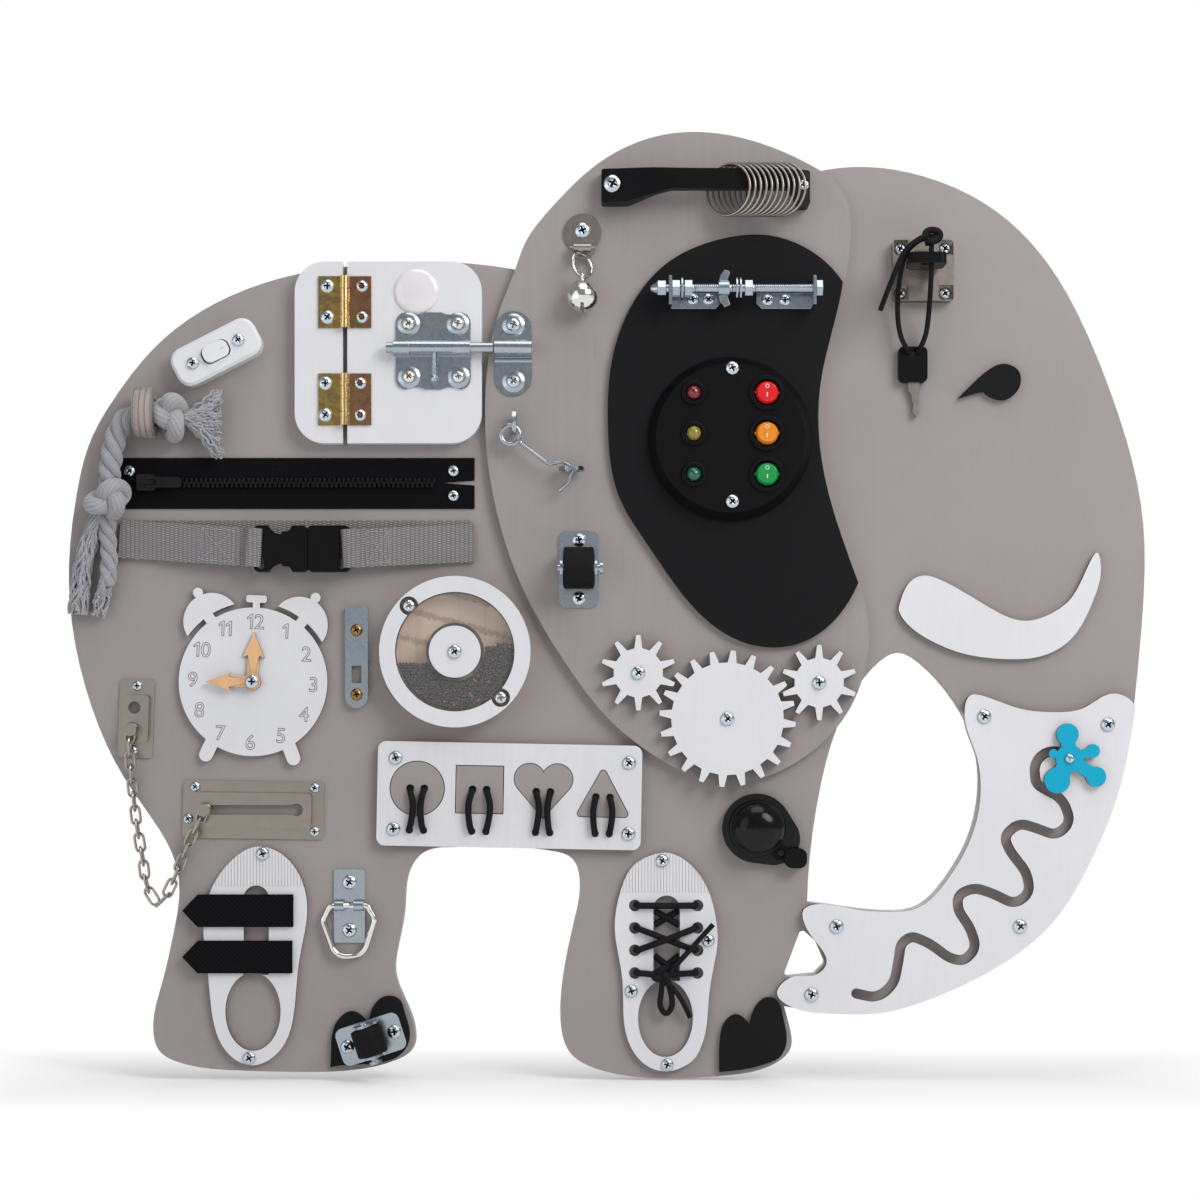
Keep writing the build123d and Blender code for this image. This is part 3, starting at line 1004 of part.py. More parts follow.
def lock_and_keys():
    x, y = LOCK
    case = plate(Pos(x, y) * RectangleRounded(LOCK_SIDE, LOCK_SIDE, 3), BASE_T, LOCK_T)
    spots = [(191.4, 232.9), (220.6, 232.9), (191.4, 203.7), (220.6, 203.7)]
    for sx, sy in spots:
        case -= plate(Pos(sx, sy) * Rectangle(9.5, 9.5), BASE_T + 3, LOCK_T)
        keep("screws", screw(sx, sy, BASE_T + 3, head=3.6))
    case += disc(*KEYWAY, BASE_T, CYLINDER_R, LOCK_FACE_Z - BASE_T)
    case -= disc(*KEYWAY, BASE_T + 2, 4.6 + RUNNING, 40)
    keep("lock_case", case)

    plug = disc(*KEYWAY, BASE_T + 2.3, 4.6, LOCK_FACE_Z - BASE_T - 2.3)
    bow_z = LOCK_FACE_Z + 3
    bow = Pos(KEYWAY[0], KEYWAY[1], bow_z) * extrude(
        Plane.XZ * (Pos(0, 11.5) * RectangleRounded(23.8, 23, 4) - Pos(0, 17.8) * SlotOverall(9, 4.6)), amount=BOW_T / 2,
        both=True)
    neck = block((KEYWAY[0] - 4, KEYWAY[0] + 4), (KEYWAY[1] - KEY_T / 2, KEYWAY[1] + KEY_T / 2),
                 (LOCK_FACE_Z - 1, bow_z + 1))
    keep("lock_key", plug + neck + bow)

    bow_face = Pos(199.5, 157.3) * RectangleRounded(18.9, 23.2, 3.5) - Pos(199.5, 164.4) * SlotOverall(9.5, 4.6)
    blade = Polygon((196.6, 146.5), (203.8, 146.5), (203.8, 140), (202.6, 137.5), (203.8, 134.5), (202.6, 131),
                    (203.9, 126.5), (201.7, 122.7), (199.2, 126.5), (200, 131), (198.8, 134.5), (198.4, 138.5),
                    (196.6, 140), align=None)
    low = BASE_T + SEAT
    second = plate(bow_face, low, BOW_T - 1.5) + plate(blade, low + 1.7, KEY_T)
    keep("hanging_key", second)
    top_z = LOCK_FACE_Z + 20.8
    low_z = low + (BOW_T - 1.5) / 2
    strands = [
        [(206.6, 229, top_z + 1), (206.8, 215, top_z), (207.4, 203, top_z - 8), (208.6, 190, low_z + 12),
         (207.5, 176, low_z + 8), (203.2, 166, low_z + 6.6), (202.2, 164.4, low_z + 1)],
        [(203, 232.8, top_z + 1), (192, 228.5, top_z - 2), (188.6, 214, top_z - 14), (188.4, 199, BASE_T + 14),
         (189, 185, low_z + 6), (191.2, 173.5, low_z + 6.6), (195.6, 165.8, low_z + 6.5), (196.8, 164.4, low_z + 1)],
        [(204, 234, top_z + 4.5), (191, 228.5, top_z + 4), (183.5, 211, top_z - 4), (176, 189.4, top_z - 16)]]
    knot = knot_block(206.6, 234.4, top_z + 2, (10, 9, 9))
    keep("key_cord", knot.fuse(*[bent_rod(points, KEY_CORD_R) for points in strands]))


# ---------------------------------------------------------------- light box
LIGHT = (80.1, 107.9)
LIGHT_R = 52.9
LIGHT_FACE_R = 48.1
LIGHT_H = 10.0
LAMP_X = 56.3
ROCKER_X = 103.5
ROWS_Y = (137.0, 110.8, 84.4)
LAMP_R = 4.9
LAMP_BEZEL_R = 7.9
ROCKER_R = 8.1
ROCKER_BEZEL_R = 11.4
BEZEL_H = 2.0
ROCKER_WELL = 7.0
ROCKER_TILT = 6.0
ROCKER_NAMES = ("red", "amber", "green")


def light_box():
    top = LINING_TOP + LIGHT_H
    body = disc(*LIGHT, LINING_TOP, LIGHT_R, 3)
    body += loft([Pos(*LIGHT, LINING_TOP + 3) * Circle(LIGHT_R), Pos(*LIGHT, top) * Circle(LIGHT_FACE_R)])
    bezels = []
    lenses = []
    for y in ROWS_Y:
        body -= disc(LAMP_X, y, top - 6, LAMP_R + RUNNING, 7)
        body -= disc(ROCKER_X, y, top - ROCKER_WELL, ROCKER_R + SEAT, 9)
        bezels.append(ring_plate(LAMP_X, y, top, LAMP_BEZEL_R, LAMP_R + RUNNING, BEZEL_H))
        bezels.append(ring_plate(ROCKER_X, y, top, ROCKER_BEZEL_R, ROCKER_R + SEAT, BEZEL_H))
        steps = ((0, LAMP_R - 0.1), (2.4, 0.86 * LAMP_R), (4.0, 0.55 * LAMP_R), (4.7, 0.2 * LAMP_R))
        dome = loft([Pos(LAMP_X, y, top + rise) * many_sided(radius) for rise, radius in steps], ruled=True)
        lenses.append(plate(Pos(LAMP_X, y) * many_sided(LAMP_R - 0.1), top - 5, 5) + dome)
    keep("light_box", body)
    keep("lamps_and_bezels", *bezels)
    keep("lamps_and_bezels", *lenses)
    for y in (152.9, 66.9):
        keep("screws", screw(81.2, y, top, bite=LIGHT_H + 3))
    for name, y in zip(ROCKER_NAMES, ROWS_Y):
        puck = plate(many_sided(ROCKER_R - 0.6, sides=16), -4.5, 5.5)
        hump = loft([Pos(0, 0, 1) * many_sided(ROCKER_R - 0.6, sides=16), Pos(0, 0, 3.4) * many_sided(ROCKER_R - 2, sides=16)])
        pin = prism((-ROCKER_R + 0.05, 0, 0), (ROCKER_R - 0.05, 0, 0), 1.2, HEAD_SIDES)
        rocker = Rot(-ROCKER_TILT, 0, 0) * (puck + hump + pin)
        keep(f"rocker_{name}", Pos(ROCKER_X, y, top) * rocker)


# ---------------------------------------------------------------- gears
SMALL_TEETH = 10
LARGE_TEETH = 20
SMALL_GEAR = (24.6, 16.2)
LARGE_GEAR = (44.4, 36.6)
GEARS = {"gear_left": (20.6, -43.5), "gear_large": (78.4, -73.3), "gear_right": (137.8, -49.9)}


def gear_face(teeth, tip_r, root_r, first):
    """A flat gear with straight-flanked teeth; first is the angle of its first tooth."""
    foot = radians(360 / teeth) * root_r * 0.52 / 2
    tip = foot * 0.55
    profile = []
    for index in range(teeth):
        angle = first + index * 360 / teeth
        for radius, half in ((root_r, -foot), (tip_r, -tip), (tip_r, tip), (root_r, foot)):
            at = radians(angle) + half / radius
            profile.append((radius * cos(at), radius * sin(at)))
    return Polygon(*profile, align=None) - Circle(PIVOT_R + RUNNING)


def gears():
    low = EAR_TOP + 0.5
    faces = {
        "gear_left": gear_face(SMALL_TEETH, *SMALL_GEAR, 90),
        "gear_large": gear_face(LARGE_TEETH, *LARGE_GEAR, 85.2),
        "gear_right": gear_face(SMALL_TEETH, *SMALL_GEAR, 90)}
    for name, (x, y) in GEARS.items():
        keep(name, plate(Pos(x, y) * faces[name], low, GEAR_T))
        keep("screws", pivot_screw(x, y, low + GEAR_T + SEAT, EAR_TOP))


# ---------------------------------------------------------------- bike bell
BIKE_BELL = (98.0, -144.6)
BIKE_DOME_R = 18.5
LEVER_PIVOT = (113.5, -160.5)
LEVER_FLOOR = 2.5
LEVER_POST_R = 2.0


def bike_bell():
    x, y = BIKE_BELL
    egg = make_hull((Circle(22.6) + Pos(11, -7) * Circle(17)).edges())
    base = plate(Pos(x, y) * egg, BASE_T, 6)
    profile = make_face([
        Polyline((0, BASE_T + 6), (BIKE_DOME_R, BASE_T + 6), (BIKE_DOME_R, BASE_T + 10)),
        Polyline(
            (BIKE_DOME_R, BASE_T + 10), (18, BASE_T + 12.4), (16.6, BASE_T + 15.2), (14.5, BASE_T + 17.8),
            (11.5, BASE_T + 20.4), (8, BASE_T + 22), (4, BASE_T + 22.8), (0, BASE_T + 23)),
        Line((0, BASE_T + 23), (0, BASE_T + 6))])
    dome = Pos(x, y, 0) * revolve(Plane.XZ * profile, Axis.Z)
    groove_low = BASE_T + 13
    dome -= Pos(x, y, 0) * plate(Circle(19) - Circle(16.2), groove_low, 1.2)
    well = Pos(*LEVER_PIVOT) * (Circle(6.5) + Pos(6, -4) * Circle(9) + Pos(12, -8) * Circle(10))
    base -= plate(well, BASE_T + LEVER_FLOOR, 9)
    keep("bike_bell", base + disc(*LEVER_PIVOT, BASE_T, LEVER_POST_R, LEVER_FLOOR + 4.5) + dome)

    px, py = LEVER_PIVOT
    arm = Pos(px, py) * (Circle(5.2) + Rot(0, 0, -18) * Pos(5, 0) * Rectangle(10, 7))
    lever = plate(arm, BASE_T + LEVER_FLOOR + SEAT, 3)
    pad = plate(Pos(px + 9.5, py - 3.4) * RectangleRounded(14.5, 13, 5), BASE_T + LEVER_FLOOR + SEAT, 7)
    lever += pad
    lever -= disc(px, py, 0, LEVER_POST_R + RUNNING, 60)
    keep("bell_lever", lever - disc(x, y, 0, BIKE_DOME_R + 0.4, 60))


# ---------------------------------------------------------------- white rocker switch
SWITCH = (-253.2, 164.5)
SWITCH_TURN = 27.0
SWITCH_SIZE = (59.5, 26.0)
SWITCH_H = 13.0
SWITCH_ROCKER = (19.0, 11.5)


def wall_switch():
    place = Pos(*SWITCH, BASE_T) * Rot(0, 0, SWITCH_TURN)
    body = plate(RectangleRounded(*SWITCH_SIZE, 9), 0, SWITCH_H)
    body = chamfer(body.edges().group_by(Axis.Z)[-1], 1.8)
    well = RectangleRounded(SWITCH_ROCKER[0] + 2 * SEAT, SWITCH_ROCKER[1] + 2 * SEAT, 5)
    body -= plate(well, SWITCH_H - 6, 9)
    keep("switch_housing", place * body)
    for side in (-1, 1):
        spot = place * Pos(side * 16.6, 0)
        keep("screws", screw(spot.position.X, spot.position.Y, BASE_T + SWITCH_H, bite=SWITCH_H + 5, head=3.6))
    cap = plate(RectangleRounded(SWITCH_ROCKER[0] - 1.6, SWITCH_ROCKER[1] - 0.4, 4.6), -4.2, 6.4)
    keep("switch_rocker", place * Pos(0, 0, SWITCH_H) * Rot(0, ROCKER_TILT, 0) * cap)


# ---------------------------------------------------------------- tail loop and rope
TAIL_LOOP_X = (-305.2, -292.2)
TAIL_LOOP_Y = 124.8
TAIL_LOOP_R = 16.3
TAIL_LOOP_HOLE_R = 8.6
TAIL_LOOP_Z = BASE_T + 13.0
ROPE_R = 6.8
LEG_R = 5.6


def tail():
    low, high = TAIL_LOOP_X
    loop = bar((low, TAIL_LOOP_Y, TAIL_LOOP_Z), (high, TAIL_LOOP_Y, TAIL_LOOP_Z), TAIL_LOOP_R)
    loop -= bar((low - 1, TAIL_LOOP_Y, TAIL_LOOP_Z), (high + 1, TAIL_LOOP_Y, TAIL_LOOP_Z), TAIL_LOOP_HOLE_R)
    loop -= block((low - 1, high + 1), (0, 200), (-20, BASE_T))
    keep("tail_loop", loop)

    route = [(-289, TAIL_LOOP_Y, TAIL_LOOP_Z), (-309, TAIL_LOOP_Y, TAIL_LOOP_Z), (-317, 113, TAIL_LOOP_Z - 1),
             (-321, 98, 23), (-323, 78, 22)]
    rope = [bent_rod(route, ROPE_R, sides=8, radii=[9, 14, 30])]
    left = [(-326, 66, 20), (-333, 52, 19), (-338.5, 34, 18.6), (-342, 14, 18.6), (-343.5, -6, 18.6)]
    right = [(-322, 66, 20.5), (-325, 50, 20), (-322.5, 32, 19.4), (-324.5, 14, 19.2), (-331, -8, 19)]
    rope += [bent_rod(left, LEG_R, sides=8), bent_rod(right, LEG_R, sides=8)]
    rope += [knot_block(-281.8, 122.6, TAIL_LOOP_Z, (18, 30, 24)), knot_block(-324, 70.4, 24.6, (30, 22, 22))]
    flat = {"x_dir": (0, 1, 0), "z_dir": (1, 0, 0)}
    tassel = loft([Plane(origin=(-272.6, 121.5, 25), **flat) * RectangleRounded(12, 12, 4),
                   Plane(origin=(-249.5, 117, 20.5), **flat) * RectangleRounded(38, 14, 4)])
    keep("tail_rope", tassel.fuse(*rope))


def knot_block(x, y, z, size):
    """The plain outer form of a knot: a box with well rounded edges."""
    body = Box(*size)
    return Pos(x, y, z) * chamfer(body.edges(), 0.28 * min(size))


# ---------------------------------------------------------------- zipper
ZIP_X = (-329.0, -86.1)
ZIP_Y = (63.7, 96.9)
ZIP_MID_Y = 80.6
TAPE_T = 0.9
TEETH_X = (-300.0, -110.0)
TOOTH_PITCH = 3.2
TOOTH_H = 2.0
TOOTH_REACH = 2.6
SLIDER_X = (-306.0, -293.5)


def zipper():
    low = BASE_T + 0.2
    tape_top = low + TAPE_T
    outline = [(ZIP_X[0], ZIP_Y[0]), (ZIP_X[1], ZIP_Y[0]), (ZIP_X[1], ZIP_MID_Y - 1.6), (ZIP_X[1] - 22, ZIP_MID_Y),
               (ZIP_X[1], ZIP_MID_Y + 1.6), (ZIP_X[1], ZIP_Y[1]), (ZIP_X[0], ZIP_Y[1])]
    tape = plate(Polygon(*outline, align=None), low, TAPE_T)
    count = int((TEETH_X[1] - TEETH_X[0]) / TOOTH_PITCH)
    teeth = []
    for index in range(count):
        x = TEETH_X[0] + index * TOOTH_PITCH
        side = 1 if index % 2 else -1
        reach = sorted((ZIP_MID_Y - side * 0.8, ZIP_MID_Y + side * TOOTH_REACH))
        teeth.append(block((x, x + 2.0), reach, (tape_top, tape_top + TOOTH_H)))
    keep("zipper_tape", tape.fuse(*teeth))
    for x, y in [(-99.8, 88.4), (-99.8, 72.2), (-311.0, 88.4)]:
        keep("screws", screw(x, y, tape_top, head=3.4))

    top = tape_top + TOOTH_H + SEAT
    outline = Pos(sum(SLIDER_X) / 2, ZIP_MID_Y) * RectangleRounded(SLIDER_X[1] - SLIDER_X[0], 10.8, 1.8)
    body = plate(outline, tape_top + SEAT, top + 1.8 - tape_top - SEAT)
    body -= block((SLIDER_X[0] - 1, SLIDER_X[1] + 1), (ZIP_MID_Y - TOOTH_REACH - 0.4, ZIP_MID_Y + TOOTH_REACH + 0.4),
                  (0, top))
    bridge = block((-302.5, -294.5), (ZIP_MID_Y - 1.4, ZIP_MID_Y + 1.4), (top + 1.8, top + 4.6))
    bridge -= block((-301, -296), (ZIP_MID_Y - 3, ZIP_MID_Y + 3), (top + 1.8, top + 3.4))
    tab = plate(Pos(-287.5, ZIP_MID_Y) * (RectangleRounded(22, 7, 2) - Pos(-7.5, 0) * Rectangle(4, 4)),
                top + 2.0, 1.2)
    keep("zipper_slider", body + bridge, tab - block((-303, -294.4), (ZIP_MID_Y - 1.7, ZIP_MID_Y + 1.7), (0, 60)))


# ---------------------------------------------------------------- strap and side-release buckle
WEB_W = 25.0
WEB_T = 1.6
STRAP_X = (-317.5, -86.0)
SOCKET_X = (-228.5, -194.0)
PRONG_X = (-193.6, -166.7)
BUCKLE_Y = 37.0
BUCKLE_H = 30.0
BUCKLE_Z = (BASE_T + 4.2, BASE_T + 13.2)
BUCKLE_WALL = 1.8


def webbing(points, turn_at, turn):
    """A length of webbing whose underside follows points in X and Z, turned a little in the board's plane."""
    over = [(x, z + WEB_T) for x, z in reversed(points)]
    side = Plane.XZ * Polygon(*points, *over, align=None)
    strip = extrude(side, amount=WEB_W / 2, both=True)
    return Pos(*turn_at) * Rot(0, 0, turn) * strip


def strap():
    low = BASE_T + 0.2
    length = STRAP_X[1] - STRAP_X[0]
    back = Pos((STRAP_X[0] + STRAP_X[1]) / 2, 43.5) * Rectangle(length - 6, WEB_W)
    keep("strap_webbing", plate(back, low, WEB_T))
    mid_z = sum(BUCKLE_Z) / 2
    front_low = low + WEB_T + SEAT
    left = [(0, front_low), (18, front_low), (62, mid_z - 1), (87.8, mid_z - 1)]
    keep("strap_webbing", webbing(left, (STRAP_X[0], 43.9, 0), -4.0))
    right = [(0, front_low), (-18, front_low), (-62, mid_z - 1), (-79.4, mid_z - 1)]
    keep("strap_front_right", webbing(right, (STRAP_X[1], 41.3, 0), 3.0))


def buckle():
    low, high = BUCKLE_Z
    half = BUCKLE_H / 2
    mid_y = BUCKLE_Y
    shell = block(SOCKET_X, (mid_y - half, mid_y + half), BUCKLE_Z)
    shell = fillet(shell.edges().filter_by(Axis.Z), 3)
    cavity_x = (SOCKET_X[0] + 9, SOCKET_X[1] + 1)
    shell -= block(cavity_x, (mid_y - half + BUCKLE_WALL, mid_y + half - BUCKLE_WALL),
                   (low + BUCKLE_WALL, high - BUCKLE_WALL))
    for side in (-1, 1):
        shell -= Pos(SOCKET_X[0] + 17, mid_y + side * (half + 3), (low + high) / 2) * Cylinder(8.5, 30)
    slot_x = (SOCKET_X[0] + 2.5, SOCKET_X[0] + 6.5)
    shell -= block(slot_x, (mid_y - 13, mid_y + 13), (low - 1, high + 1))
    keep("buckle_socket", shell)

    body = block(PRONG_X, (mid_y - half, mid_y + half), (low + 0.4, high - 0.4))
    body = fillet(body.edges().filter_by(Axis.Z), 3)
    body -= block((PRONG_X[1] - 6.5, PRONG_X[1] - 2.5), (mid_y - 13, mid_y + 13), (low - 1, high + 1))
    inner = half - BUCKLE_WALL - SEAT
    arm_z = (low + BUCKLE_WALL + SEAT, high - BUCKLE_WALL - SEAT)
    start = PRONG_X[0] + 3
    for side in (-1, 1):
        arm = Polygon((start, side * 8), (start - 20, side * 9.5), (start - 20, side * 11), (start, side * inner),
                      align=None)
        body += plate(Pos(0, mid_y) * arm, arm_z[0], arm_z[1] - arm_z[0])
    tongue = block((start - 22, start), (mid_y - 3, mid_y + 3), arm_z)
    keep("buckle_prongs", body + tongue)


# ---------------------------------------------------------------- build and save
base_panel()
ear_and_trim()
trunk_maze()
door()
barrel_bolt()
bolt_keeper()
clock()
latch_plate()
seed_wheel()
chain_plates()
chain_links()
shoes()
shoe_lace()
shape_tray()
tie_down()
rollers()
hook_and_eyes()
jingle_bell()
ring_handle()
threaded_bolt()
lock_and_keys()
light_box()
gears()
bike_bell()
wall_switch()
tail()
zipper()
strap()
buckle()

DRILLED = (
    "base_panel", "ear_panel", "black_panels", "white_plates", "trunk_panel", "clock_face", "shape_tray",
    "door_panel", "door_hardware", "fixed_door_hardware", "chain_and_latch_plates", "fixed_fittings",
    "ring_handle", "bolt_and_brackets", "lock_case", "light_box", "switch_housing", "zipper_tape")


def touching(solid, others):
    """Those of the others whose bounding boxes meet the solid's."""
    box = solid.bounding_box()
    near = []
    for other in others:
        low = other.bounding_box()
        gaps = (low.min - box.max, box.min - low.max)
        if all(max(gap.X, gap.Y, gap.Z) < 0 for gap in gaps):
            near.append(other)
    return near


def drilled(name, solid):
    """The solid with a hole for each shank that goes through it or into it."""
    shanks = touching(solid, driven) if name in DRILLED else []
    own = [shank for shank in shanks if solid.is_inside(shank.center()) and solid.volume < 60]
    return solid.cut(*shanks) if shanks and not own else solid


os.makedirs("parts", exist_ok=True)
stand_up = Rot(90, 0, 0)
for name, solids in nodes.items():
    whole = [drilled(name, solid) for part in solids for solid in part.solids()]
    piece = Compound([solid for part in whole for solid in part.solids()])
    export_step(stand_up * piece, f"parts/{name}.step")
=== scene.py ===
"""A wooden busy board in the shape of an elephant, with its finishes, fittings, cords and cloth.

Run as a script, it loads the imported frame, dresses every piece and sets the studio round it.
Sizes of the pieces are in millimetres on the bench: X to the right, Y up the board and Z out of it.
"""
import json
import math
import random

import bmesh
import bpy
from mathutils import Matrix, Vector, noise


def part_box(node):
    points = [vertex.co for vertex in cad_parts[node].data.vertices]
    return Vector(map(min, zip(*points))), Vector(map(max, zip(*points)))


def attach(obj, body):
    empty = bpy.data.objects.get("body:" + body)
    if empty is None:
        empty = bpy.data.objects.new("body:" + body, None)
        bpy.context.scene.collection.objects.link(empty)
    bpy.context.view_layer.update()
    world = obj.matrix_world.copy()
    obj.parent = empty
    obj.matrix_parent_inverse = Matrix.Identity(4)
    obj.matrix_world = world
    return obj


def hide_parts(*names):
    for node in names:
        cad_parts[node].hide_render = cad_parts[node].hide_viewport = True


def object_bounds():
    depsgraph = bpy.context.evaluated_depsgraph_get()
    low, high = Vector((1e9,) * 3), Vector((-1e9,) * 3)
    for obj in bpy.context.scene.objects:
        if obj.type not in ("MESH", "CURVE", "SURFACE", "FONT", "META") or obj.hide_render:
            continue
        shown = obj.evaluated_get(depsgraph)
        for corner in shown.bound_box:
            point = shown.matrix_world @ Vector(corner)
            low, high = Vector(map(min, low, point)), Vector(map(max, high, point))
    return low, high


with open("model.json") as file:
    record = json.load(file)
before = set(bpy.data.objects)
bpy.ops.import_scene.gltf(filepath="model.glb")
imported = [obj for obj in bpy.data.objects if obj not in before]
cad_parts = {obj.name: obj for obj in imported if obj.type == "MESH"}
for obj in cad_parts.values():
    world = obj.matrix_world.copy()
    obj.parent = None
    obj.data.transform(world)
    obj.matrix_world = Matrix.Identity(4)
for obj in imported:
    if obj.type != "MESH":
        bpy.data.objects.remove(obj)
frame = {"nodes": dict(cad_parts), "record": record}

bl_info = {
    "name": "Elephant busy board",
    "version": (1, 0, 0),
    "blender": (4, 5, 0),
    "location": "View3D > Sidebar > Busy board",
    "description": "Dresses an elephant-shaped busy board and its gadgets",
    "category": "Object",
}

MM = 0.001
BENCH = Matrix.Rotation(math.radians(90), 4, "X") @ Matrix.Scale(MM, 4)
RIGHT, UP, OUT = Vector((1, 0, 0)), Vector((0, 1, 0)), Vector((0, 0, 1))
NODES = frame["nodes"]
BODY_OF = {node: body for body, names in frame["record"]["behaviour"]["bodies"].items() for node in names}
CAD_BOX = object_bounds()

# heights above the wall of the layers that pieces lie on
BOARD_TOP = 12.0
EAR_TOP = 18.0
PLATE_TOP = 16.0
TRAY_TOP = 18.0
DOOR_TOP = 21.0


# ---------------------------------------------------------------- bench helpers
def srgb(red, green, blue):
    """A display colour of 0 to 255 as the linear colour that a shader takes."""
    def linear(value):
        value /= 255
        return value / 12.92 if value <= 0.04045 else ((value + 0.055) / 1.055) ** 2.4
    return (linear(red), linear(green), linear(blue), 1.0)


def bench_box(node):
    """The lowest and highest corner of a node in bench millimetres."""
    low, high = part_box(node)
    return Vector((low.x, low.z, -high.y)) / MM, Vector((high.x, high.z, -low.y)) / MM


def add_object(name, data):
    """An object for a mesh, curve, light or camera, linked to the scene."""
    item = bpy.data.objects.new(name, data)
    bpy.context.scene.collection.objects.link(item)
    return item


def evaluated_mesh(holder):
    """The mesh that an object's curve or modifiers make."""
    bpy.context.view_layer.update()
    return bpy.data.meshes.new_from_object(holder.evaluated_get(bpy.context.evaluated_depsgraph_get()))


def smooth(bm, below):
    """Smooth shading; an edge stays sharp where its faces turn by more than an angle in degrees."""
    for face in bm.faces:
        face.smooth = True
    limit = math.radians(below)
    for edge in bm.edges:
        edge.smooth = len(edge.link_faces) == 2 and edge.calc_face_angle(math.pi) < limit


def mount(name, mesh, body, stands_for):
    """A piece that rides on a body and the nodes that it stands for."""
    piece = add_object(name, mesh)
    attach(piece, body)
    if stands_for:
        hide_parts(*stands_for)
    return piece


def settle(name, bm, finish, body, stands_for=(), smooth_below=35, from_cad=False):
    """Turns a bench-millimetre bmesh into a piece on its body; finish is one name or a list of them."""
    bm.transform(BENCH)
    if not from_cad:
        bmesh.ops.recalc_face_normals(bm, faces=bm.faces)
    bm.normal_update()
    smooth(bm, smooth_below)
    mesh = bpy.data.meshes.new(name)
    bm.to_mesh(mesh)
    bm.free()
    for item in finish if isinstance(finish, list) else [finish]:
        mesh.materials.append(FINISHES[item])
    return mount(name, mesh, body, stands_for)


def islands(node):
    """The solids of a node, each as a list of faces, in one merged bmesh in bench millimetres."""
    bm = bmesh.new()
    bm.from_mesh(NODES[node].data)
    bm.transform(BENCH.inverted())
    bmesh.ops.remove_doubles(bm, verts=bm.verts, dist=0.002)
    left = set(bm.faces)
    found = []
    while left:
        queue = [left.pop()]
        group = list(queue)
        while queue:
            face = queue.pop()
            for edge in face.edges:
                for other in edge.link_faces:
                    if other in left:
                        left.discard(other)
                        queue.append(other)
                        group.append(other)
        found.append(group)
    return bm, found


def face_box(faces):
    """The lowest and highest corner of a list of faces."""
    points = [vert.co for face in faces for vert in face.verts]
    low = Vector([min(p[axis] for p in points) for axis in range(3)])
    high = Vector([max(p[axis] for p in points) for axis in range(3)])
    return low, high


def soften(piece, width, segments=2, angle=30):
    """Rounds the sharp edges of a piece a little."""
    weld = piece.modifiers.new("Merge", "WELD")
    weld.merge_threshold = 0.000002
    bevel = piece.modifiers.new("Edges", "BEVEL")
    bevel.width = width * MM
    bevel.segments = segments
    bevel.limit_method = "ANGLE"
    bevel.angle_limit = math.radians(angle)
    bevel.use_clamp_overlap = True
    bevel.miter_outer = "MITER_ARC"
    piece.modifiers.new("Normals", "WEIGHTED_NORMAL").keep_sharp = True


def finish_node(node, finish, edge):
    """Gives a CAD node its finish and softened edges."""
    piece = NODES[node]
    piece.data.materials.clear()
    piece.data.materials.append(FINISHES[finish])
    piece.data.shade_smooth()
    soften(piece, edge)


def dress(node, chooser, edge=0.25):
    """A copy of a node in which each solid, or face, has its own finish; it stands for the node."""
    bm, groups = islands(node)
    finishes = []
    for group in groups:
        low, high = face_box(group)
        for face in group:
            finish = chooser(low, high, face)
            if finish not in finishes:
                finishes.append(finish)
            face.material_index = finishes.index(finish)
    soften(settle(f"{node}_finished", bm, finishes, BODY_OF[node], (node,), from_cad=True), edge)


def nurbs_line(points, resolution=8):
    """Points along the smooth curve that has the given points as its control points."""
    data = bpy.data.curves.new("route", "CURVE")
    data.dimensions = "3D"
    data.resolution_u = resolution
    spline = data.splines.new("NURBS")
    spline.points.add(len(points) - 1)
    for spot, point in zip(spline.points, points):
        spot.co = (*point, 1.0)
    spline.order_u = 3
    spline.use_endpoint_u = True
    holder = add_object("route", data)
    mesh = evaluated_mesh(holder)
    line = [vert.co.copy() for vert in mesh.vertices]
    bpy.data.meshes.remove(mesh)
    bpy.data.objects.remove(holder)
    bpy.data.curves.remove(data)
    return line


def even_line(line, step):
    """The same line with points an even step apart."""
    spots = [line[0].copy()]
    travelled = 0.0
    for start, end in zip(line, line[1:]):
        run = (end - start).length
        while run > 0 and travelled + run >= step:
            part = (step - travelled) / run
            start = start.lerp(end, part)
            run = (end - start).length
            spots.append(start.copy())
            travelled = 0.0
        travelled += run
    if (spots[-1] - line[-1]).length > 0.3 * step:
        spots.append(line[-1].copy())
    return spots


def frames_along(line):
    """Each point of a line with two directions across it, turning as little as possible."""
    found = []
    normal = None
    for index, point in enumerate(line):
        ahead = line[min(index + 1, len(line) - 1)]
        behind = line[max(index - 1, 0)]
        tangent = (ahead - behind).normalized()
        if normal is None:
            normal = tangent.orthogonal().normalized()
        normal = (normal - tangent * normal.dot(tangent)).normalized()
        found.append((point, normal, tangent.cross(normal)))
    return found


def circle(centre, radius, count, first, second):
    """Points round a centre, in the plane of two directions."""
    angles = [2 * math.pi * step / count for step in range(count)]
    return [centre + radius * (math.cos(angle) * first + math.sin(angle) * second) for angle in angles]


def quads(bm, here, there):
    """The faces between two rings of as many corners."""
    count = len(here)
    return [bm.faces.new((here[k], here[(k + 1) % count], there[(k + 1) % count], there[k])) for k in range(count)]


